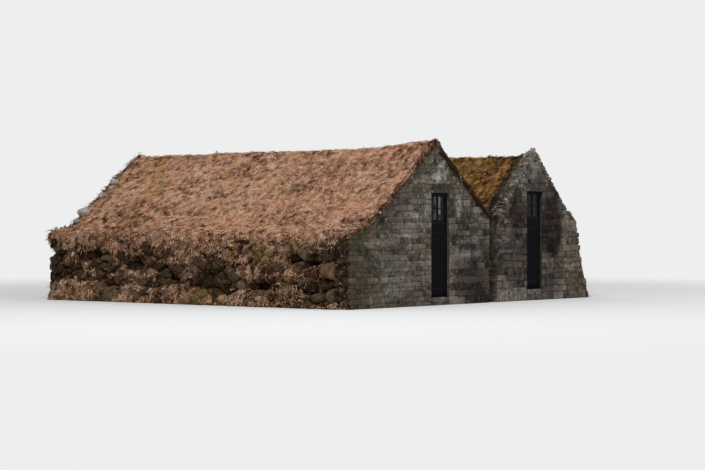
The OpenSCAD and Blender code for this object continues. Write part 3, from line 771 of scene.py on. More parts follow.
def right_front():
    rng = np.random.default_rng(12)
    heap = Heap()
    r = RECESS
    door0, door1 = RIGHT_DOOR - OPENING, RIGHT_DOOR + OPENING
    head = RIGHT_SILL + OPENING_H
    apex = PARAPET_Z - 0.05
    edge = [(x - r - 0.03, z) for x, z in reversed(RIGHT_EDGE[1:])]
    shoulder = (RIGHT_EDGE[0][0], apex - (RIGHT_EDGE[0][0] - RIGHT_RIDGE) * PARAPET_TAN)
    outline = [(JOINT[1] + r, 0), (door0, 0), (door0, head), (door1, head), (door1, 0), *edge, shoulder,
               (RIGHT_RIDGE, apex), (JOINT[1] + r, apex - (RIGHT_RIDGE - JOINT[1] - r) * PARAPET_TAN),
               (JOINT[1] + r, 1.9), (JOINT[1] + r, 1.2), (JOINT[1] + r, 0.6)]

    def falls(x, z):
        return z > 2.3 and not door0 <= x <= door1 or x == RIGHT_RIDGE

    lower = [(x, z - PARAPET_FALL if falls(x, z) else z) for x, z in outline]
    slab(heap, outline, FRONT + r + BED, FRONT + 0.2, **CORE)
    slab(heap, lower, FRONT + 0.2, INSIDE_FRONT - r, **CORE)

    def lay(x0, x1, z0, z1, height, length, contrast=0.36, **more):
        for poly in courses(x0, x1, z0, z1, rng, height, length):
            before = area(poly)
            poly = clip_right(poly, rng.uniform(-0.06, 0.03))
            if len(poly) < 3:
                continue
            cut = area(poly) < before * 0.98
            cx, cz = np.mean(poly, axis=0)
            look = dict(tint=shade_of(rng, 0.48 + 0.17 * (cz > 3.0), contrast), moss=0.35, pale=0.35,
                        proud=rng.uniform(0.002, 0.014), edge=rng.uniform(0.008, 0.022))
            if cx > 3.7 + 0.15 * math.sin(5 * cz):
                look.update(tint=shade_of(rng, 0.48, 0.38), proud=rng.uniform(0.01, 0.03), edge=0.028,
                            wobble=0.01, soften=0.35, moss=0.7, hue=0.6)
                if cut:
                    look.update(back=0.43, side=0.1)
            look.update(more)
            stone(heap, front_face, poly, rng, **look)
            if not cut:
                mortar(heap, front_face, poly)

    lay(JOINT[1], door0, 0.0, 0.36, (0.34, 0.38), (0.4, 0.7), tint=0.66, pale=0.6)
    lay(JOINT[1], door0, 0.36, 1.95, (0.13, 0.21), (0.22, 0.55))
    lay(JOINT[1], door0, 1.95, head, (0.1, 0.16), (0.15, 0.4))
    lay(door1, 5.3, 0.0, head, (0.12, 0.21), (0.18, 0.46))
    lay(1.2, RIGHT_DOOR - LINTEL_HALF, head, head + LINTEL_H, (0.1, 0.12), (0.14, 0.26))
    lay(RIGHT_DOOR + LINTEL_HALF, 3.8, head, head + LINTEL_H, (0.1, 0.12), (0.14, 0.26))
    lay(RIGHT_RIDGE - 1.05, RIGHT_RIDGE + 1.05, head + LINTEL_H, PARAPET_Z, (0.09, 0.14), (0.1, 0.26),
        edge=0.025, wobble=0.008)
    coping(heap, rng)
    heap.build("right_front_stones", front_stone, "front_stone", crease=38, **FRONT_FIELDS,
               replaces=("right_front_inner_pier", "right_front_outer_pier", "right_front_gable"))


def slabs():
    rng = np.random.default_rng(13)
    heap = Heap()
    opening_slabs(heap, rng, LEFT_DOOR, LEFT_SILL, 0.42)
    opening_slabs(heap, rng, RIGHT_DOOR, RIGHT_SILL, 0.36)
    heap.build("lintels_and_thresholds", lintel_stone, "lintel_stone", replaces=("lintels", "thresholds"),
               crease=38, **FRONT_FIELDS)


left_front()
right_front()
slabs()

# Rubble walls
ROOM_LENGTH = INSIDE_BACK - INSIDE_FRONT
RUBBLE = dict(back=0.2, joint=0.008, step=0.09, soften=0.35, wobble=0.01, rough=0.003, lumps=0.6)
INNER = dict(back=0.05, joint=0.012, edge=0.04, step=0.2, soften=0.2, wobble=0.01, rough=0.01,
             fine=False, lumps=0)
SOIL = dict(tint=0.1, moss=1.0, pale=0.0, hue=0.6)
# How far a wall's core lies inside its outer face, and how far its inner stones lie inside its inner face
DEEP, SUNK = 0.15, 0.02
LEFT_LEAN = (LEFT_TOP - LEFT_FOOT) / WALL_TOP
RIGHT_LEAN = (RIGHT_FOOT - RIGHT_TOP) / WALL_TOP
RIGHT_RISE = WALL_TOP * math.hypot(RIGHT_LEAN, 1)
left_face = Face((LEFT_FOOT + 0.04, 0, 0), FORE_WAY, (LEFT_LEAN, 0, 1))
behind_face = Face((LEFT_FOOT + 0.2, 0, 0), FORE_WAY, (LEFT_LEAN, 0, 1))
right_face = Face((RIGHT_FOOT - 0.05, 0, 0), BACK_WAY, (-RIGHT_LEAN, 0, 1))
back_face = Face((0, BACK - 0.035, 0), LEFT_WAY, UPWARD)
end_face = Face((0, INSIDE_FRONT + 0.03, 0), RIGHT_WAY, UPWARD)
corner_face = Face((LEFT_CORNER + 0.02, 0, 0), FORE_WAY, UPWARD)
CORNER_TOP = 1.74

BOARD_T = 0.028
# Each room's ridge, slope, boards' top at the ridge, two walls, and the boards' reach to each side
ROOMS = {"left": (LEFT_RIDGE, LEFT_TAN, 3.6910, LEFT_ROOM, MIDDLE_WALL, 2.614, 2.523),
         "right": (RIGHT_RIDGE, RIGHT_TAN, 3.5796, RIGHT_ROOM, RIGHT_WALL, 1.906, 1.958)}
LEFT_END, RIGHT_END = LEFT_RIDGE - ROOMS["left"][5], RIGHT_RIDGE + ROOMS["right"][6]

# Hollows in the left wall where stones have fallen out, and banks of turf: centre in Y and Z, half sizes
HOLLOWS = ((-3.74, 1.16, 0.5, 0.17), (-2.33, 0.51, 0.36, 0.14), (-0.77, 0.68, 0.26, 0.11),
           (0.63, 0.67, 0.3, 0.17), (3.45, 1.19, 0.42, 0.2), (-4.6, 0.55, 0.3, 0.28), (2.15, 1.08, 0.5, 0.17),
           (-1.95, 1.2, 0.3, 0.13), (4.45, 0.88, 0.36, 0.12), (2.9, 0.45, 0.35, 0.14))
BANKS = ((-2.0, 0.85, 0.45, 0.13), (4.5, 0.38, 0.55, 0.2), (1.95, 0.42, 0.5, 0.14), (-3.2, 0.45, 0.5, 0.12),
         (-4.25, 1.45, 0.6, 0.12), (-3.1, 1.28, 0.4, 0.22), (1.54, 0.66, 0.6, 0.17), (-4.2, 0.88, 0.35, 0.09),
         (-3.34, 0.8, 0.5, 0.12), (-1.2, 1.42, 0.7, 0.22), (0.0, 1.25, 0.6, 0.2), (0.3, 0.26, 0.9, 0.26),
         (-2.5, 1.46, 0.5, 0.2), (3.6, 0.3, 0.8, 0.22), (-3.3, 0.2, 0.9, 0.15), (4.4, 1.15, 0.4, 0.16),
         (5.05, 1.5, 0.3, 0.2), (-0.95, 1.6, 0.4, 0.1))


def within(p, spots):
    """How far points p lie in any of the spots on a side wall, from 0 to 1."""
    much = np.zeros(p.shape[:-1])
    waver = 0.55 * noise(p, 0.26, 62, 3)
    for y, z, long, tall in spots:
        reach = np.hypot((p[..., 1] - y) / long, (p[..., 2] - z) / tall) + waver
        much = np.maximum(much, smoothstep(1.2, 0.6, reach))
    return much


def rubble(heap, face, polys, rng, **more):
    """Stones from outlines, with one missing here and there."""
    missing = 0.05
    for poly in polys:
        if len(poly) < 3 or rng.random() < missing:
            continue
        size = math.sqrt(area(poly))
        look = dict(RUBBLE, proud=rng.uniform(0.1, 0.3) * size, tint=shade_of(rng, 0.4, 0.24),
                    moss=rng.uniform(0.2, 1), pale=rng.uniform(0, 0.5))
        look.update(more)
        stone(heap, face, poly, rng, **look)


def inside(heap, origin, along, length, height, rng, limit=None):
    """Plain rubble on the inside of a wall."""
    polys = cells(0, length, 0, height, rng, 0.42, 0.26)
    if limit:
        polys = [limit(poly) for poly in polys]
    rubble(heap, Face(origin, along, UPWARD), polys, rng, **INNER, proud=0.02)


def build_rubble(heap, node, **fields):
    """Makes one wall's rubble, in place of its CAD node."""
    heap.build(node + "_stones", rubble_stone, "rubble", replaces=(node,), crease=40,
               **(fields or PLAIN_FIELDS))


def under_boards(poly, room):
    """Cuts an outline, in X and Z, along the upper faces of a room's roof boards."""
    ridge, slope, top = ROOMS[room][:3]
    return under_gable(poly, ridge, slope, top)


def back_layout():
    """Outlines of the rubble over the whole back, on the back face, for each wall that they stand in."""
    rng = np.random.default_rng(20)
    ends = (LEFT_ROOM, MIDDLE_WALL, RIGHT_ROOM, RIGHT_WALL)
    shares = {"left_side": [], "left": [], "middle": [], "right": [], "right_side": []}
    for poly in cells(LEFT_FOOT, RIGHT_FOOT, 0, 3.72, rng, 0.36, 0.17, keep=0.8):
        x, z = np.mean(poly, axis=0)
        if x < LEFT_END or x > RIGHT_END:
            poly = clip(poly, 0, 1, WALL_TOP)
        else:
            poly = under_boards(poly, "left" if x < VALLEY_X else "right")
        if poly:
            poly = clip(poly, -1 / LEFT_LEAN, -1, -LEFT_FOOT / LEFT_LEAN)
        if poly:
            poly = clip(poly, 1 / RIGHT_LEAN, 1, RIGHT_FOOT / RIGHT_LEAN)
        if len(poly) < 3:
            continue
        if z > WALL_TOP:
            share = "left" if x < VALLEY_X else "right"
        else:
            share = list(shares)[np.searchsorted(ends, x, "right")]
        shares[share].append([(-u, v) for u, v in reversed(poly)])
    return shares


BACK_STONES = back_layout()


def left_wall():
    rng = np.random.default_rng(21)
    heap = Heap()
    deep = 2 * DEEP
    slab(heap, [(LEFT_FOOT + deep, 0), (LEFT_ROOM, 0), (LEFT_ROOM, WALL_TOP), (LEFT_TOP + deep, WALL_TOP)],
         INSIDE_FRONT, BACK - DEEP, **SOIL)
    polys = list(cells(-BACK + 0.02, -INSIDE_FRONT, 0, WALL_TOP, rng, 0.44, 0.22))
    middles = np.array([np.mean(poly, axis=0) for poly in polys]).T
    middles = left_face.place(*middles, np.zeros(len(polys)))
    for poly, fallen in zip(polys, within(middles, HOLLOWS)):
        size = math.sqrt(area(poly))
        if fallen < 0.5:
            rubble(heap, left_face, [poly], rng, proud=rng.uniform(0.16, 0.4) * size, joint=0.012,
                   soften=0.45, tint=shade_of(rng, 0.52, 0.34), hue=rng.uniform(-0.3, 0.5))
        else:
            # Stones set back in a hollow get a lower tint: painted shade.
            rubble(heap, behind_face, [poly], rng, proud=rng.uniform(0.2, 0.45) * size, joint=0.02,
                   soften=0.45, tint=shade_of(rng, 0.25, 0.15), hue=0.3)
    rubble(heap, back_face, BACK_STONES["left_side"], rng)
    inside(heap, (LEFT_ROOM - SUNK, INSIDE_FRONT, 0), BACK_WAY, ROOM_LENGTH, WALL_TOP, rng)
    build_rubble(heap, "left_side_wall", damp=shaded, bloom=dry)


def right_wall():
    rng = np.random.default_rng(22)
    heap = Heap()
    outline = [(RIGHT_WALL, 0), (RIGHT_FOOT - DEEP, 0), (RIGHT_TOP - DEEP, WALL_TOP), (RIGHT_WALL, WALL_TOP)]
    slab(heap, outline, INSIDE_FRONT + 0.06, BACK - DEEP, **SOIL)
    rubble(heap, right_face, cells(INSIDE_FRONT, BACK - 0.02, 0, RIGHT_RISE, rng, 0.38, 0.18), rng)
    rubble(heap, back_face, BACK_STONES["right_side"], rng)
    end = [clip(poly, 1 / RIGHT_LEAN, 1, (RIGHT_FOOT - 0.02) / RIGHT_LEAN)
           for poly in cells(4.3, RIGHT_FOOT, 0, WALL_TOP, rng, 0.26, 0.17, keep=0.9)]
    rubble(heap, end_face, end, rng, back=0.12, tint=0.3)
    inside(heap, (RIGHT_WALL + SUNK, INSIDE_BACK, 0), FORE_WAY, ROOM_LENGTH, WALL_TOP, rng)
    build_rubble(heap, "right_side_wall")


def back_wall(room):
    """Rubble outside and inside, over a core in the CAD wall's outline."""
    rng = np.random.default_rng(23 + (room == "right"))
    heap = Heap()
    ridge, slope, top, x0, x1, left, right = ROOMS[room]
    low_left, low_right = (WALL_TOP, MIDDLE_TOP) if room == "left" else (MIDDLE_TOP, WALL_TOP)
    outline = [(x0, 0), (x1, 0), (x1, low_right), (ridge + right, low_right), (ridge, top - 0.01),
               (ridge - left, low_left), (x0, low_left)]
    slab(heap, outline, INSIDE_BACK, BACK - DEEP, **SOIL)
    rubble(heap, back_face, BACK_STONES[room], rng)

    def limit(poly):
        poly = under_boards([(x0 + u, v + BOARD_T * 1.5) for u, v in poly], room)
        return [(u - x0, v - BOARD_T * 1.5) for u, v in poly]

    inside(heap, (x0, INSIDE_BACK + SUNK, 0), RIGHT_WAY, x1 - x0, top - BOARD_T, rng, limit)
    build_rubble(heap, room + "_back_wall")


def middle_wall():
    rng = np.random.default_rng(25)
    heap = Heap()
    slab(heap, rectangle(MIDDLE_WALL, RIGHT_ROOM, 0, MIDDLE_TOP), INSIDE_FRONT, BACK - DEEP, **SOIL)
    rubble(heap, back_face, BACK_STONES["middle"], rng)
    inside(heap, (MIDDLE_WALL + SUNK, INSIDE_BACK, 0), FORE_WAY, ROOM_LENGTH, MIDDLE_TOP, rng)
    inside(heap, (RIGHT_ROOM - SUNK, INSIDE_FRONT, 0), BACK_WAY, ROOM_LENGTH, MIDDLE_TOP, rng)
    build_rubble(heap, "middle_wall")


def corner():
    """Rubble on the left end of the masonry, in a low tint that stands for dark stone and for painted shade
    beside the corner.
    """
    rng = np.random.default_rng(27)
    heap = Heap()
    polys = cells(-INSIDE_FRONT - 0.05, -FRONT - 0.012, 0, CORNER_TOP, rng, 0.3, 0.13, keep=0.9)
    rubble(heap, corner_face, polys, rng, back=0.08, edge=0.025, proud=0.03, tint=0.2, lumps=0)
    heap.build("corner_stones", rubble_stone, "front_stone", crease=40, **PLAIN_FIELDS)


def joint():
    """The rubble between the two fronts, made dark as painted shade of the recess."""
    rng = np.random.default_rng(26)
    heap = Heap()
    slab(heap, rectangle(*JOINT, 0, JOINT_TOP), JOINT_Y + 0.07, INSIDE_FRONT, **SOIL)
    rubble(heap, Face((0, JOINT_Y + 0.05, 0), RIGHT_WAY, UPWARD),
           cells(*JOINT, 0, JOINT_TOP, rng, 0.2, 0.16), rng, tint=0.25, pale=0.1, back=0.1, hue=-0.4)
    heap.build("joint_stones", front_stone, "rubble", replaces=("middle_wall_end",), crease=40, damp=painted_joint_shade,
               bloom=dry)


left_wall()
right_wall()
back_wall("left")
back_wall("right")
middle_wall()
corner()
joint()


# Turf
class Surface:
    """A grid of points with its outward and downhill directions."""

    def __init__(self, points, flip=False):
        self.points = points
        du, dv = np.gradient(points, axis=0), np.gradient(points, axis=1)
        up = np.cross(dv, du) if flip else np.cross(du, dv)
        self.up = up / np.linalg.norm(up, axis=-1, keepdims=True)
        down = np.array([0, 0, -1.0]) + self.up[..., 2:] * self.up
        self.down = down / (np.linalg.norm(down, axis=-1, keepdims=True) + 1e-6)

    def ridge(self, column):
        """How far along its rows, from 0 to 1, the surface is highest in one column."""
        return np.argmax(self.points[:, column, 2]) / (len(self.points) - 1)

    def close(self, heap, under, **values):
        """Adds the surface, what lies under it and its two ends as one closed mesh."""
        loop = np.concatenate([self.points, under])
        rows, columns = loop.shape[:2]
        grid = grid_faces(rows, columns)
        wrap = grid_faces(2, columns)
        wrap = np.where(wrap >= columns, wrap - columns, wrap + (rows - 1) * columns)
        drop = int(np.argmin(np.ptp(loop[:, 0], axis=0)))
        first, last = (flat_faces(np.delete(loop[:, k], drop, axis=1)) * columns + k
                       for k in (0, columns - 1))
        heap.add(loop.reshape(-1, 3), np.concatenate([grid, wrap, first, last[:, ::-1]]), **values)

    def sample(self, rng, count, rows=(0.0, 1.0), columns=(0.0, 1.0)):
        """Evenly scattered places on the surface: point, direction downhill, and outward direction."""
        size = np.linalg.norm(self.points[-1, 0] - self.points[0, 0]) * (rows[1] - rows[0]) + 0.01
        wide = np.linalg.norm(self.points[0, -1] - self.points[0, 0]) * (columns[1] - columns[0]) + 0.01
        across = max(1, int(math.sqrt(count * size / wide)))
        along = max(1, count // across)
        i, j = (v.ravel() for v in np.meshgrid(np.arange(across), np.arange(along), indexing="ij"))
        n = len(i)
        m = rows[0] + (i + rng.random(n)) / across * (rows[1] - rows[0])
        k = columns[0] + (j + rng.random(n)) / along * (columns[1] - columns[0])
        m, k = m * (len(self.points) - 1.001), k * (self.points.shape[1] - 1.001)
        i, j = m.astype(int), k.astype(int)
        a, b = (m - i)[:, None], (k - j)[:, None]

        def blend(field):
            return ((field[i, j] * (1 - a) + field[i + 1, j] * a) * (1 - b)
                    + (field[i, j + 1] * (1 - a) + field[i + 1, j + 1] * a) * b)

        return blend(self.points), blend(self.down), blend(self.up)


TURF_STEP = 0.065


def roof_path(points, width=0.22, step=TURF_STEP):
    """A line through points in X and Z with rounded corners, and its outward directions."""
    points = np.asarray(points, float)
    fine = 0.01
    at = np.concatenate([[0], np.cumsum(np.linalg.norm(np.diff(points, axis=0), axis=1))])
    where = np.linspace(0, at[-1], int(at[-1] / fine) + 1)
    line = np.stack([np.interp(where, at, points[:, i]) for i in (0, 1)], -1)
    half = int(width / fine / 2)
    padded = np.concatenate([2 * line[0] - line[half:0:-1], line, 2 * line[-1] - line[-2:-half - 2:-1]])
    kernel = np.ones(2 * half + 1) / (2 * half + 1)
    line = np.stack([np.convolve(padded[:, i], kernel, "valid") for i in (0, 1)], -1)
    where = np.linspace(0, len(line) - 1, int(at[-1] / step) + 1)
    line = np.stack([np.interp(where, np.arange(len(line)), line[:, i]) for i in (0, 1)], -1)
    along = np.gradient(line, axis=0)
    along /= np.linalg.norm(along, axis=1, keepdims=True)
    return line, np.stack([-along[:, 1], along[:, 0]], -1)


def swell(p):
    """How far the turf stands out from the CAD surface: humps, and matted clumps with creases between."""
    humps, clumps = 0.03 * noise(p, 1.7, 3, 2), 0.10 * np.abs(noise(p, 0.42, 5, 3))
    return humps + clumps + 0.02 * noise(p, 0.15, 8, 2) - 0.045


def roof_surface(points, y0, y1, rise, droop=None):
    """A roof's turf over a line in X and Z, from one Y to another, raised by rise and moved by droop."""
    line, normal = roof_path(points)
    y = np.linspace(y0, y1, int((y1 - y0) / TURF_STEP) + 1)
    base = np.zeros((len(line), len(y), 3))
    base[..., 0], base[..., 2] = line[:, None, 0], line[:, None, 1]
    base[..., 1] = y
    out = rise(base)
    moved = base.copy()
    moved[..., 0] += normal[:, None, 0] * out
    moved[..., 2] += normal[:, None, 1] * out
    if droop:
        moved += droop(base)
    return Surface(moved)


def under_rows(outline, surface):
    """An underside that follows an outline in X and Z along the whole surface."""
    rows = np.zeros((len(outline), surface.points.shape[1], 3))
    rows[..., 0], rows[..., 2] = (np.asarray(outline)[:, None, i] for i in (0, 1))
    rows[..., 1] = surface.points[0, :, 1]
    return rows


def tufts(heap, place, rng, blades=14, spread=0.04, length=(0.05, 0.14), width=(0.013, 0.03), splay=0.7,
          lift=0.16, swirl=1.0, dark=0.12, pale=0.25, mean=0.5, moss=0.3):
    """Tufts of grass: each is a bunch of closed blades round one place that lie mostly downhill."""
    p, down, up = place
    n = len(p)
    turn = swirl * noise(p, 0.7, 17, 2) + rng.normal(0, 0.35, n)
    pick = rng.random(n) + 0.25 * noise(p, 1.1, 23, 2)
    shade = rng.normal(mean(p) if callable(mean) else mean, 0.1, n)
    dark_shade, pale_shade = rng.uniform(0.0, 0.2, n), rng.uniform(0.75, 1.0, n)
    shade = np.where(pick < dark, dark_shade, np.where(pick > 1 - pale, pale_shade, shade))
    scale = rng.uniform(0.7, 1.3, n)
    p, down, up = (np.repeat(v, blades, axis=0) for v in (p, down, up))
    turn, shade, scale = (np.repeat(v, blades)[:, None] for v in (turn, shade, scale))
    m = n * blades
    side = np.cross(up, down)
    angle = turn + rng.normal(0, splay, (m, 1))
    direction = down * np.cos(angle) + side * np.sin(angle)
    across = np.cross(up, direction)
    size = rng.uniform(*length, (m, 1)) * scale
    wide = rng.uniform(*width, (m, 1)) / 2
    root = p + down * rng.normal(0, spread, (m, 1)) + side * rng.normal(0, spread, (m, 1)) - up * 0.008
    rise = np.abs(rng.normal(0, lift, (m, 1))) * size + 0.012
    crest, tip = root + up * wide * 1.6 + direction * size * 0.25, root + direction * size + up * rise
    points = np.stack([root - across * wide, root + across * wide, crest, tip], 1).reshape(-1, 3)
    pattern = np.array([0, 2, 1, 0, 1, 3, 0, 3, 2, 1, 2, 3])
    faces = (np.arange(m)[:, None] * 4 + pattern).reshape(-1, 3)
    # Each blade is darker at its root and paler at its tip: painted shade and painted light.
    shade = np.clip(shade + rng.normal(0, 0.07, (m, 1)) + np.array([-0.1, -0.1, 0.0, 0.1]), -0.4, 1)
    if callable(moss):
        moss = np.repeat(moss(place[0]), blades * 4)
    heap.add(points, faces, tint=shade.ravel(), moss=moss)


# Creases between strips of turf on the left roof's outer slope: place across the house, from and to along it
CREASES = ((-4.62, -5.0, -1.7), (-4.0, -4.9, -3.2), (-3.55, -2.6, -1.2), (-4.3, 0.4, 1.9), (-3.2, 1.6, 3.4),
           (-4.75, 2.2, 4.4), (-2.9, -4.4, -3.0))

# How much more the turf is heaped at the left gable's peak, on its outer side
PEAK = 0.09


def heaped(p):
    """The left turf is heaped over the gable and settles behind it, smoother near the front, with creases."""
    near = smoothstep(-3.7, -4.85, p[..., 1])
    slope = smoothstep(3.3, 2.3, np.abs(p[..., 0] - LEFT_RIDGE))
    smooth = 1 - 0.5 * smoothstep(-1.5, -3.5, p[..., 1])
    out = swell(p) * smooth + HEAP * 0.85 * near * slope
    across = p[..., 0] - LEFT_RIDGE
    outer = np.exp(-((across + 0.12) / 0.55) ** 2) * smoothstep(0.3, -0.1, across)
    out = out + PEAK * outer * smoothstep(-2.6, -5.1, p[..., 1])
    waver = 0.12 * noise(p * (0, 1, 0), 0.8, 43, 3)
    for x, y0, y1 in CREASES:
        there = smoothstep(y0 - 0.2, y0 + 0.2, p[..., 1]) * smoothstep(y1 + 0.2, y1 - 0.2, p[..., 1])
        out = out - 0.05 * there * np.exp(-((p[..., 0] - x - waver) / 0.06) ** 2)
    return out


# Paler and darker places on the left roof's outer slope: centre across and along, reach both ways, how much
SHADES = ((-4.0, -0.6, 1.1, 1.2, 0.06), (-3.8, 0.65, 0.7, 0.6, 0.14), (-5.1, -0.7, 0.5, 0.8, 0.22),
          (-5.1, -4.7, 0.6, 0.8, -0.2), (-4.5, -2.1, 0.5, 0.7, 0.12), (-2.6, -1.9, 0.45, 1.8, -0.19),
          (-3.6, 3.25, 0.7, 0.6, -0.16), (-5.3, 4.4, 0.6, 0.9, -0.17), (-2.6, 4.8, 0.5, 0.5, -0.18),
          (-2.7, 1.95, 0.4, 0.5, -0.1), (-2.8, 3.2, 0.4, 0.5, 0.12), (-5.3, 3.2, 0.4, 0.6, -0.06))


def left_tone(p):
    """The left roof's shade: darker at the front and low at the far end, with broad patches."""
    low = smoothstep(-4.2, -5.2, p[:, 0])
    front = smoothstep(-3.6, -4.7, p[:, 1])
    shade = 0.55 + 0.03 * low - (0.08 + 0.17 * low) * front
    shade = shade + (0.1 + 0.16 * smoothstep(-2.4, -0.8, p[:, 1])) * noise(p, 0.42, 24, 2)
    shade = shade - 0.1 * smoothstep(-3.6, -5.0, p[:, 0]) * smoothstep(1.0, 3.0, p[:, 1])
    for x, y, wide, long, much in SHADES:
        shade = shade + much * np.exp(-((p[:, 0] - x) / wide) ** 2 - ((p[:, 1] - y) / long) ** 2)
    return shade


def lapped(p):
    """The turf lapped over the gable lies thin on the valley side."""
    side = smoothstep(LEFT_RIDGE - 0.05, LEFT_RIDGE + 0.35, p[..., 0])
    return heaped(p) * (1 - 0.75 * side)


def valley_front(p):
    """From 0 to 1 on the front edge of the lap's valley side, coloured dark as its soil and as painted shade.
    """
    side = smoothstep(LEFT_RIDGE - 0.05, LEFT_RIDGE + 0.12, p[..., 0])
    return side * smoothstep(FRONT + 0.13, FRONT + 0.03, p[..., 1])


# Tufts on the lap are darker at the valley front, as soil and painted shade.
def lap_tone(p):
    return 0.45 - 0.6 * valley_front(p)


# Where the left turf sags over the wall: place along it, half length and drop
SAGS = ((-1.6, 1.1, 0.36), (0.6, 0.6, 0.12), (2.4, 0.9, 0.16), (-4.3, 0.7, -0.1), (4.3, 0.7, 0.12))


def left_droop(p):
    """The turf's cut edge sags over the wall, more in some places than others."""
    edge = smoothstep(-4.95, -5.42, p[..., 0])
    sag = 0.07 + 0.12 * noise(p * (0, 1, 0), 0.7, 41, 4)
    for place, half, drop in SAGS:
        sag = sag + drop * np.exp(-((p[..., 1] - place) / half) ** 2)
    sag = np.maximum(sag, 0) * smoothstep(FRONT + 0.1, FRONT + 0.6, p[..., 1])
    return np.stack([-0.02 * edge, 0 * edge, -sag * edge], -1)


def right_droop(p):
    """The right turf's cut edge wavers a little."""
    edge = smoothstep(RIGHT_RIDGE + 1.8, RIGHT_EAVE, p[..., 0])
    sag = 0.03 + 0.12 * noise(p * (0, 1, 0), 0.8, 44, 4)
    return np.stack([0.02 * edge, 0 * edge, -sag * edge], -1)


# Lines of the turf's top in X and Z, from edge to edge
EDGE_FOOT = 1.62
LEFT_LINE = [(LEFT_CORNER, EDGE_FOOT), (LEFT_CORNER, EAVE), (LEFT_SHOULDER, 2.011),
             (LEFT_RIDGE, LEFT_RIDGE_Z + 0.03), (VALLEY_X + 0.06, VALLEY_Z - 0.045)]
LAP_LINE = [(LEFT_CORNER, 1.8), (LEFT_CORNER, EAVE), (LEFT_SHOULDER, 2.03), (LEFT_RIDGE, LEFT_RIDGE_Z + 0.03),
            (JOINT[0], left_roof_z(JOINT[0]))]
RIGHT_LINE = [(VALLEY_X - 0.06, VALLEY_Z - 0.055), (RIGHT_RIDGE, RIGHT_RIDGE_Z + 0.02),
              (RIGHT_SHOULDER, 2.43), (RIGHT_EAVE, EAVE), (RIGHT_EAVE, EDGE_FOOT)]


def far_moss(p):
    """The left roof is mossier towards its far end."""
    return 0.2 + 0.8 * smoothstep(-0.5, 4.0, p[:, 1])


EAVE_GRASS = dict(length=(0.05, 0.17), mean=0.42, dark=0.25, pale=0.12, lift=0.15, spread=0.06)
CORNER_GRASS = dict(length=(0.12, 0.24), mean=0.4, dark=0.2, pale=0.1, lift=0.06, splay=0.3, swirl=0.2)
PEAK_GRASS = dict(length=(0.05, 0.12), spread=0.03, mean=0.28, dark=0.4, pale=0.05)
REAR_GRASS = dict(length=(0.06, 0.18), mean=0.4, dark=0.3, pale=0.1, spread=0.05)
SHORT = dict(length=(0.025, 0.07), spread=0.025)
LEFT_EDGE = ((-0.15, 0, -1), (-1, 0, 0.2))


def fringe(heap, surface, rng, count, rows, columns, hang, out, **look):
    """Grass that hangs from an edge of a surface."""
    p = surface.sample(rng, count, rows, columns)[0]
    hang, out = (np.tile(np.asarray(v, float) / np.linalg.norm(v), (len(p), 1)) for v in (hang, out))
    tufts(heap, (p, hang, out), rng, **look)


def rear_fringe(heap, surface, rng, count):
    """Grass that hangs over the rear verge."""
    fringe(heap, surface, rng, count, (0, 1), (0.999, 1), (0, 0.25, -1), (0, 1, 0.2), **REAR_GRASS)


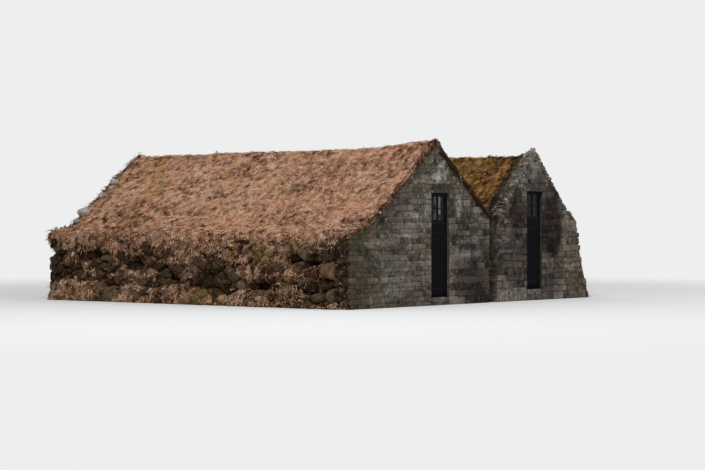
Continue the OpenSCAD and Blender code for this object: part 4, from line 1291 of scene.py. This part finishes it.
def left_turf():
    rng = np.random.default_rng(31)
    body = Heap()
    main = roof_surface(LEFT_LINE, INSIDE_FRONT, BACK + VERGE, heaped, left_droop)
    inner = [(VALLEY_X + 0.04, MIDDLE_TOP), (0.448, MIDDLE_TOP), (0.448, 1.755), (LEFT_RIDGE, 3.6915),
             (LEFT_END, WALL_TOP + 0.005), (-5.3, WALL_TOP)]
    under = under_rows(inner, main)
    # The body's dark tint shows between the tufts as painted shade; at its cut edge it is darker still, as
    # soil and painted shade under the eave.
    soil_and_shade_edge = smoothstep(1.9, 1.7, np.concatenate([main.points, under])[..., 2])
    main.close(body, under, tint=(0.34 - 0.22 * soil_and_shade_edge).ravel(), moss=0.3)
    lap = roof_surface(LAP_LINE, FRONT - VERGE, INSIDE_FRONT + 0.05, lapped)
    under = [(JOINT[0], left_top(JOINT[0])), (LEFT_RIDGE, LEFT_RIDGE_Z - GABLE_DROP), (LEFT_SHOULDER, 2.0),
             (LEFT_CORNER, 1.765)]
    under = under_rows(under, lap)
    lap_points = np.concatenate([lap.points, under])
    # The lap is darkened at its valley front and along its overhanging front, as soil and painted shade.
    valley_soil_and_shade = valley_front(lap_points)
    front_soil_and_shade = smoothstep(FRONT + 0.02, FRONT - 0.05, lap_points[..., 1]) * (1 - valley_soil_and_shade)
    lap.close(body, under, tint=(0.3 - 0.65 * valley_soil_and_shade - 0.2 * front_soil_and_shade).ravel(),
              moss=(0.5 - 0.5 * valley_soil_and_shade).ravel())
    body.build("left_roof_turf", dry_turf, "dry_turf",
               replaces=("left_roof_turf_outer", "left_roof_turf_valley"))
    ridge, lap_ridge = main.ridge(10), lap.ridge(1)

    half = 0.42
    grass = Heap()
    tufts(grass, main.sample(rng, 2050, (0.045, ridge), (0, half)), rng, moss=far_moss, dark=0.08,
          mean=left_tone)
    tufts(grass, lap.sample(rng, 230, (0.0, lap_ridge)), rng, moss=0.1, mean=left_tone)
    fringe(grass, main, rng, 260, (0, 0.05), (0, half), *LEFT_EDGE, **EAVE_GRASS)
    grass.build("left_outer_grass_front", dry_turf, "dry_turf")
    grass = Heap()
    tufts(grass, main.sample(rng, 2350, (0.045, ridge), (half, 1)), rng, moss=far_moss, dark=0.16,
          mean=left_tone)
    fringe(grass, main, rng, 330, (0, 0.06), (half, 1), *LEFT_EDGE, **EAVE_GRASS)
    far_corner = np.random.default_rng(33)
    fringe(grass, main, far_corner, 44, (0, 0.03), (0.972, 1), (-0.05, 0.05, -1), (-1, 0.4, 0.2),
           **CORNER_GRASS)
    grass.build("left_outer_grass_back", dry_turf, "dry_turf")

    grass = Heap()
    tufts(grass, main.sample(rng, 1000, (ridge, 1.0)), rng, length=(0.06, 0.17), width=(0.015, 0.035),
          moss=far_moss)
    tufts(grass, lap.sample(rng, 110, (lap_ridge, 0.97), (0.1, 1.0)), rng, length=(0.03, 0.09), mean=lap_tone,
          dark=0, pale=0.1)
    front, out = (0, 0.001), (0, -1, 0.2)
    # Short dark grass along the lap's front edge: a painted shadow line on the outer slope, and soil and
    # painted shade on the valley side.
    fringe(grass, lap, rng, 90, (0.06, lap_ridge), front, (-0.3, -0.25, -1), out,
           mean=0.15, dark=0.7, pale=0, **SHORT)
    fringe(grass, lap, rng, 65, (lap_ridge, 0.99), front, (0.5, 0, -0.5), out,
           mean=-0.2, dark=0, pale=0, **SHORT)
    peak, peak_rows = np.random.default_rng(34), (lap_ridge - 0.12, lap_ridge + 0.02)
    fringe(grass, lap, peak, 36, peak_rows, front, (-0.1, -0.1, -1), out, **PEAK_GRASS)
    rear_fringe(grass, main, rng, 140)
    fringe(grass, main, rng, 45, (0.93, 1.0), (0, 0.004), (0, -0.5, -1), (0, -1, 0.4), length=(0.05, 0.14),
           mean=-0.25, dark=0, pale=0)
    grass.build("left_valley_grass", dry_turf, "dry_turf")


def right_turf():
    rng = np.random.default_rng(32)
    body = Heap()
    main = roof_surface(RIGHT_LINE, INSIDE_FRONT, BACK + VERGE, swell, right_droop)
    inner = [(RIGHT_RIDGE + 2.1, WALL_TOP), (RIGHT_END, WALL_TOP + 0.005), (RIGHT_RIDGE, 3.58),
             (0.52, 1.745), (0.52, MIDDLE_TOP), (VALLEY_X - 0.04, MIDDLE_TOP)]
    # The body's dark tint shows between the tufts as painted shade.
    main.close(body, under_rows(inner, main), tint=0.35, moss=0.6)
    body.build("right_roof_turf", moss_turf, "moss_turf",
               replaces=("right_roof_turf_valley", "right_roof_turf_outer"))
    ridge = main.ridge(10)
    grass = Heap()
    tufts(grass, main.sample(rng, 500, (0.0, 0.35 * ridge)), rng, moss=1.0, dark=0.34, pale=0.16, mean=0.42)
    tufts(grass, main.sample(rng, 980, (0.35 * ridge, ridge)), rng, moss=0.7, dark=0.22, pale=0.36, mean=0.54)
    fringe(grass, main, rng, 110, (0.05, ridge), (0, 0.008), (-0.3, -1, 0.1), (-0.5, 0, 1),
           length=(0.06, 0.17), mean=0.3, dark=0.4, pale=0.05, moss=2.0, spread=0.05)
    grass.build("right_valley_grass", moss_turf, "moss_turf")
    grass = Heap()
    tufts(grass, main.sample(rng, 1480, (ridge, 0.97)), rng, moss=0.8, length=(0.06, 0.16),
          width=(0.018, 0.04))
    fringe(grass, main, rng, 150, (0.97, 1), (0, 1), (0.15, 0, -1), (1, 0, 0.2), **EAVE_GRASS)
    rear_fringe(grass, main, rng, 90)
    grass.build("right_outer_grass", moss_turf, "moss_turf")


# Distance between the side walls' ledges, where grass grows
LAYER = 0.36


def grown_over(p, seed, top, hollows, banks):
    """How thickly soil and grass cover a side wall: more on ledges and banks and at the foot, less high up
    and at the front."""
    z = p[..., 2]
    ledge = np.abs(((z + 0.1 * noise(p, 0.9, seed + 5, 2)) / LAYER) % 1 - 0.5) * 2
    cover = 0.8 * noise(p * (1, 1, 1.8), 0.8, seed, 4) + 0.3 * smoothstep(0.5, 1.0, ledge)
    cover = cover - 0.25 * smoothstep(top - 0.4, top - 0.1, z) + 0.6 * smoothstep(0.45, 0.0, z)
    cover = cover - 0.45 * smoothstep(-3.8, -4.5, p[..., 1])
    return cover + 0.6 * within(p, banks) - 2.0 * within(p, hollows)


def overgrow(name, face, x0, x1, z1, seed, slot, thick, count=2500, sunk=0.12, least=0.08, hollows=(),
             banks=()):
    """Soil and grass that have grown over a wall's side."""
    rng = np.random.default_rng(seed)
    s, t = np.meshgrid(np.linspace(x0, x1, int((x1 - x0) / 0.07) + 2), np.linspace(0, z1, 28))
    flat = face.place(s, t, 0 * s)
    cover = grown_over(flat, seed, z1, hollows, banks)
    hole, bank = within(flat, hollows), within(flat, banks)
    depth = (-sunk + thick * smoothstep(-0.08, 0.5, cover) + 0.05 * noise(flat, 0.16, seed + 1, 3)
             + 0.06 * noise(flat, 0.45, seed + 2, 2) + 0.04 * bank - 0.2 * hole)
    top = Surface(face.place(s, t, depth), flip=True)
    back = np.stack([face.place(s[k], t[k], -0.4 + 0 * s[k]) for k in (-1, 0)])
    # The soil's tint falls to 0 in the hollows: painted shade.
    tint = np.concatenate([(0.2 * (1 - hole)).ravel(), np.zeros(2 * s.shape[1])])
    heap = Heap()
    top.close(heap, back, tint=tint, moss=np.where(tint > 0.1, 0.7, 0.0))
    place = top.sample(rng, count)
    cover = grown_over(place[0], seed, z1, hollows, banks)
    grown = cover + rng.normal(0, 0.2, len(cover)) > least
    place = tuple(v[grown] for v in place)
    foot = smoothstep(0.6, 0.1, place[0][:, 2])
    end = smoothstep(-3.4, -4.6, place[0][:, 1]) + 0.9 * smoothstep(2.0, 3.6, place[0][:, 1])
    clump = 0.22 * noise(place[0], 0.35, seed + 7, 3)
    mean = 0.48 + 0.2 * foot - 0.15 * end + clump
    tufts(heap, place, rng, blades=11, length=(0.05, 0.13), mean=mean, dark=0.24, pale=0.26, moss=0.9,
          lift=0.12, spread=0.05)
    heap.build(name, wall_turf, slot)


left_turf()
right_turf()
overgrow("left_wall_grass", left_face, -BACK + 0.02, -INSIDE_FRONT + 0.05, WALL_TOP, 51, "dry_turf", 0.15,
         sunk=0.06, least=-0.05, hollows=HOLLOWS, banks=BANKS)
overgrow("corner_grass", corner_face, -INSIDE_FRONT - 0.05, -FRONT - 0.06, CORNER_TOP - 0.02, 53, "dry_turf",
         0.12, count=110, sunk=0.06)
overgrow("right_wall_grass", right_face, INSIDE_FRONT - 0.08, BACK - 0.02, RIGHT_RISE, 52, "moss_turf", 0.19)


# Loose stones
def boulder(heap, centre, size, rng, **values):
    """A rounded, lumpy stone."""
    rows, columns = 7, 12
    up = np.linspace(-math.pi / 2, math.pi / 2, rows)[1:-1]
    around = np.arange(columns) / columns * 2 * math.pi
    ring = np.stack([np.outer(np.cos(up), np.cos(around)), np.outer(np.cos(up), np.sin(around)),
                     np.outer(np.sin(up), np.ones(columns))], -1).reshape(-1, 3)
    shape = np.concatenate([ring, [(0, 0, -1), (0, 0, 1)]])
    shape *= 1 + 0.35 * noise(shape + rng.uniform(0, 50, 3), 0.9, 71, 3)[:, None]
    turn = rng.uniform(0, 2 * math.pi)
    spin = np.array([(math.cos(turn), -math.sin(turn), 0), (math.sin(turn), math.cos(turn), 0), (0, 0, 1)])
    turn, low, high = np.arange(columns), len(shape) - 2, len(shape) - 1
    last = (rows - 3) * columns
    faces = [grid_faces(rows - 2, columns, loop=True), fan(turn, low, flip=True), fan(last + turn, high)]
    heap.add((shape * size) @ spin.T + centre, np.concatenate(faces), **values)


def verge_stones():
    """Pale stones that hold the turf down along the rear verge."""
    distances_and_sizes = ((1.08, 0.13), (1.3, 0.09), (1.56, 0.12), (2.18, 0.19), (2.5, 0.1))
    rng = np.random.default_rng(61)
    heap = Heap()
    for run, size in distances_and_sizes:
        x = LEFT_RIDGE - run
        centre = (x, BACK - rng.uniform(0.0, 0.15), left_roof_z(x) + 0.03)
        tint = shade_of(rng, 0.6, 0.2)
        boulder(heap, centre, size * np.array([1.15, 1.0, 0.75]), rng, tint=tint, moss=0.5, pale=0.5, hue=0.2)
    heap.build("rear_verge_stones", pale_stone, "rubble", crease=50, **PLAIN_FIELDS)


verge_stones()


# Boards and doors
def roof_boards():
    """Planks along each slope, seen from inside."""
    rng = np.random.default_rng(41)
    board_w, slit = 0.17, 0.002
    for room, (ridge, slope, top, x0, x1, left, right) in ROOMS.items():
        heap = Heap()
        tilt = math.atan(slope)
        for side, reach in ((-1, left), (1, right)):
            out = np.array([side * math.cos(tilt), -math.sin(tilt)])
            normal = np.array([side * math.sin(tilt), math.cos(tilt)])
            length = reach / math.cos(tilt)
            edges = np.linspace(0.004, length, int(length / board_w) + 1)
            for low, high in zip(edges, edges[1:]):
                split = rng.uniform(-1.5, 1.5)
                for y0, y1 in ((INSIDE_FRONT + slit, split - slit), (split + slit, INSIDE_BACK - slit)):
                    gap, lift = rng.uniform(0.001, 0.003), rng.uniform(0, 0.002)
                    corners = rectangle(low, high - gap, 0, BOARD_T - lift)
                    section = [np.array([ridge, top - 0.0002]) + out * run - normal * height
                               for run, height in corners]
                    section = np.insert(np.array(section), 1, 0.0, axis=1)
                    swept(heap, [section + (0, y, 0) for y in np.linspace(y0, y1, 4)],
                          tint=rng.uniform(0, 1))
        heap.build(room + "_roof_planks", purlin_wood, "roof_timber", replaces=(room + "_roof_boards",))


# The CAD leaf: half width, front, back, and its foot and head above the threshold
LEAF_HALF, LEAF_FRONT, LEAF_BACK, LEAF_FOOT, LEAF_HEAD = 0.314, -5.14, -5.108, 0.006, 1.834
PLANKS = 5


def door_planks(room, x, sill):
    """Planks of slightly different widths, with chamfered edges, that fill the CAD leaf."""
    rng = np.random.default_rng(42 + (room == "right"))
    heap = Heap()
    z0, z1 = sill + LEAF_FOOT, sill + LEAF_HEAD
    shift = np.concatenate([[0], rng.normal(0, 0.006, PLANKS - 1), [0]])
    edges = np.linspace(x - LEAF_HALF, x + LEAF_HALF, PLANKS + 1) + shift
    slit, chamfer = 0.0008, 0.004
    for low, high in zip(edges, edges[1:]):
        a, b = low + slit, high - slit
        front = LEAF_FRONT + rng.uniform(0, 0.0015)
        outline = np.array([(a + chamfer, front), (b - chamfer, front), (b, front + chamfer),
                            (b, LEAF_BACK), (a, LEAF_BACK), (a, front + chamfer)])
        sections = []
        for z in np.linspace(z0, z1 - rng.uniform(0, 0.002), 16):
            shake = np.zeros((6, 2))
            shake[:2, 1] = rng.uniform(0, 0.0012, 2)
            sections.append(np.insert(outline + shake, 2, z, axis=1))
        swept(heap, sections, tint=rng.uniform(0, 1))
    heap.build(room + "_door_planks", door_wood, "door_wood", body=room + "_door", replaces=(room + "_door",))


roof_boards()
door_planks("left", LEFT_DOOR, LEFT_SILL)
door_planks("right", RIGHT_DOOR, RIGHT_SILL)

# CAD nodes that stay
FINISH = {
    post_wood: ["left_posts", "right_posts"],
    beam_wood: ["left_tie_beams", "right_tie_beams", "left_rafters", "right_rafters"],
    purlin_wood: ["left_wall_plates", "right_wall_plates", "left_ridge_beam", "right_ridge_beam"],
    frame_wood: ["left_door_frame", "right_door_frame", "left_window_sash", "right_window_sash"],
    door_wood: ["left_door_ledges", "right_door_ledges"],
    iron: ["left_door_ironwork", "right_door_ironwork", "left_pintles", "right_pintles"],
    pane_glass: ["left_window_glass", "right_window_glass"],
}
for finish, names in FINISH.items():
    for name in names:
        node = frame["nodes"][name]
        node.data.materials.clear()
        node.data.materials.append(finish)

# Floor, light and camera
BACKGROUND = (0.85, 0.855, 0.855)


def floor():
    s = Shader("floor", roughness=0.95)
    s.bsdf.inputs["Base Color"].default_value = (0.80, 0.80, 0.79, 1)
    far = s.node("ShaderNodeVectorMath", {0: s.place}, operation="LENGTH").outputs["Value"]
    camera_ray = s.node("ShaderNodeLightPath").outputs["Is Camera Ray"]
    glow = s.node("ShaderNodeEmission", {"Color": (*BACKGROUND, 1), "Strength": 1.0}).outputs[0]
    fade = s.times(s.spread(far, 9.0, 26.0), camera_ray)
    blend = s.node("ShaderNodeMixShader", {0: fade, 1: s.bsdf.outputs[0], 2: glow}).outputs[0]
    s.put(s.tree.nodes["Material Output"].inputs["Surface"], blend)
    mesh = bpy.data.meshes.new("floor")
    size = 90
    mesh.from_pydata([(x, y, 0) for x, y in rectangle(-size, size, -size, size)], [], [(0, 1, 2, 3)])
    mesh.materials.append(s.material)
    obj = bpy.data.objects.new("floor", mesh)
    bpy.context.scene.collection.objects.link(obj)


def lamp(name, place, target, size, watts):
    data = bpy.data.lights.new(name, "AREA")
    data.shape, data.size, data.energy = "DISK", size, watts
    obj = bpy.data.objects.new(name, data)
    obj.location = place
    obj.rotation_euler = (Vector(target) - Vector(place)).to_track_quat("-Z", "Y").to_euler()
    bpy.context.scene.collection.objects.link(obj)


def world():
    """An even pale light, behind a pale background that only the camera sees."""
    w = bpy.data.worlds.new("studio")
    bpy.context.scene.world = w
    w.use_nodes = True
    tree = w.node_tree
    for n in list(tree.nodes):
        tree.nodes.remove(n)
    path = tree.nodes.new("ShaderNodeLightPath")
    light, seen = tree.nodes.new("ShaderNodeBackground"), tree.nodes.new("ShaderNodeBackground")
    light.inputs["Color"].default_value = (0.93, 0.96, 1.0, 1)
    light.inputs["Strength"].default_value = 0.55
    seen.inputs["Color"].default_value = (*BACKGROUND, 1)
    mix, out = tree.nodes.new("ShaderNodeMixShader"), tree.nodes.new("ShaderNodeOutputWorld")
    tree.links.new(path.outputs["Is Camera Ray"], mix.inputs[0])
    tree.links.new(light.outputs[0], mix.inputs[1])
    tree.links.new(seen.outputs[0], mix.inputs[2])
    tree.links.new(mix.outputs[0], out.inputs["Surface"])


def camera():
    """Looks from the photograph's side and height."""
    data = bpy.data.cameras.new("camera")
    data.sensor_width, data.lens = 36, 98
    data.clip_start, data.clip_end = 1, 400
    obj = bpy.data.objects.new("camera", data)
    eye, target = Vector((-40.625, -33.9, 1.98)), Vector((-0.9, -1.6, 1.75))
    obj.location = eye
    obj.rotation_euler = (target - eye).to_track_quat("-Z", "Y").to_euler()
    bpy.context.scene.collection.objects.link(obj)
    bpy.context.scene.camera = obj


floor()
world()
lamp("key", (-22, -14, 26), (0, 0, 1.5), 14, 6000)
lamp("fill", (14, -26, 14), (0, 0, 1.5), 14, 1800)
camera()
bpy.context.scene.view_settings.view_transform = "Standard"
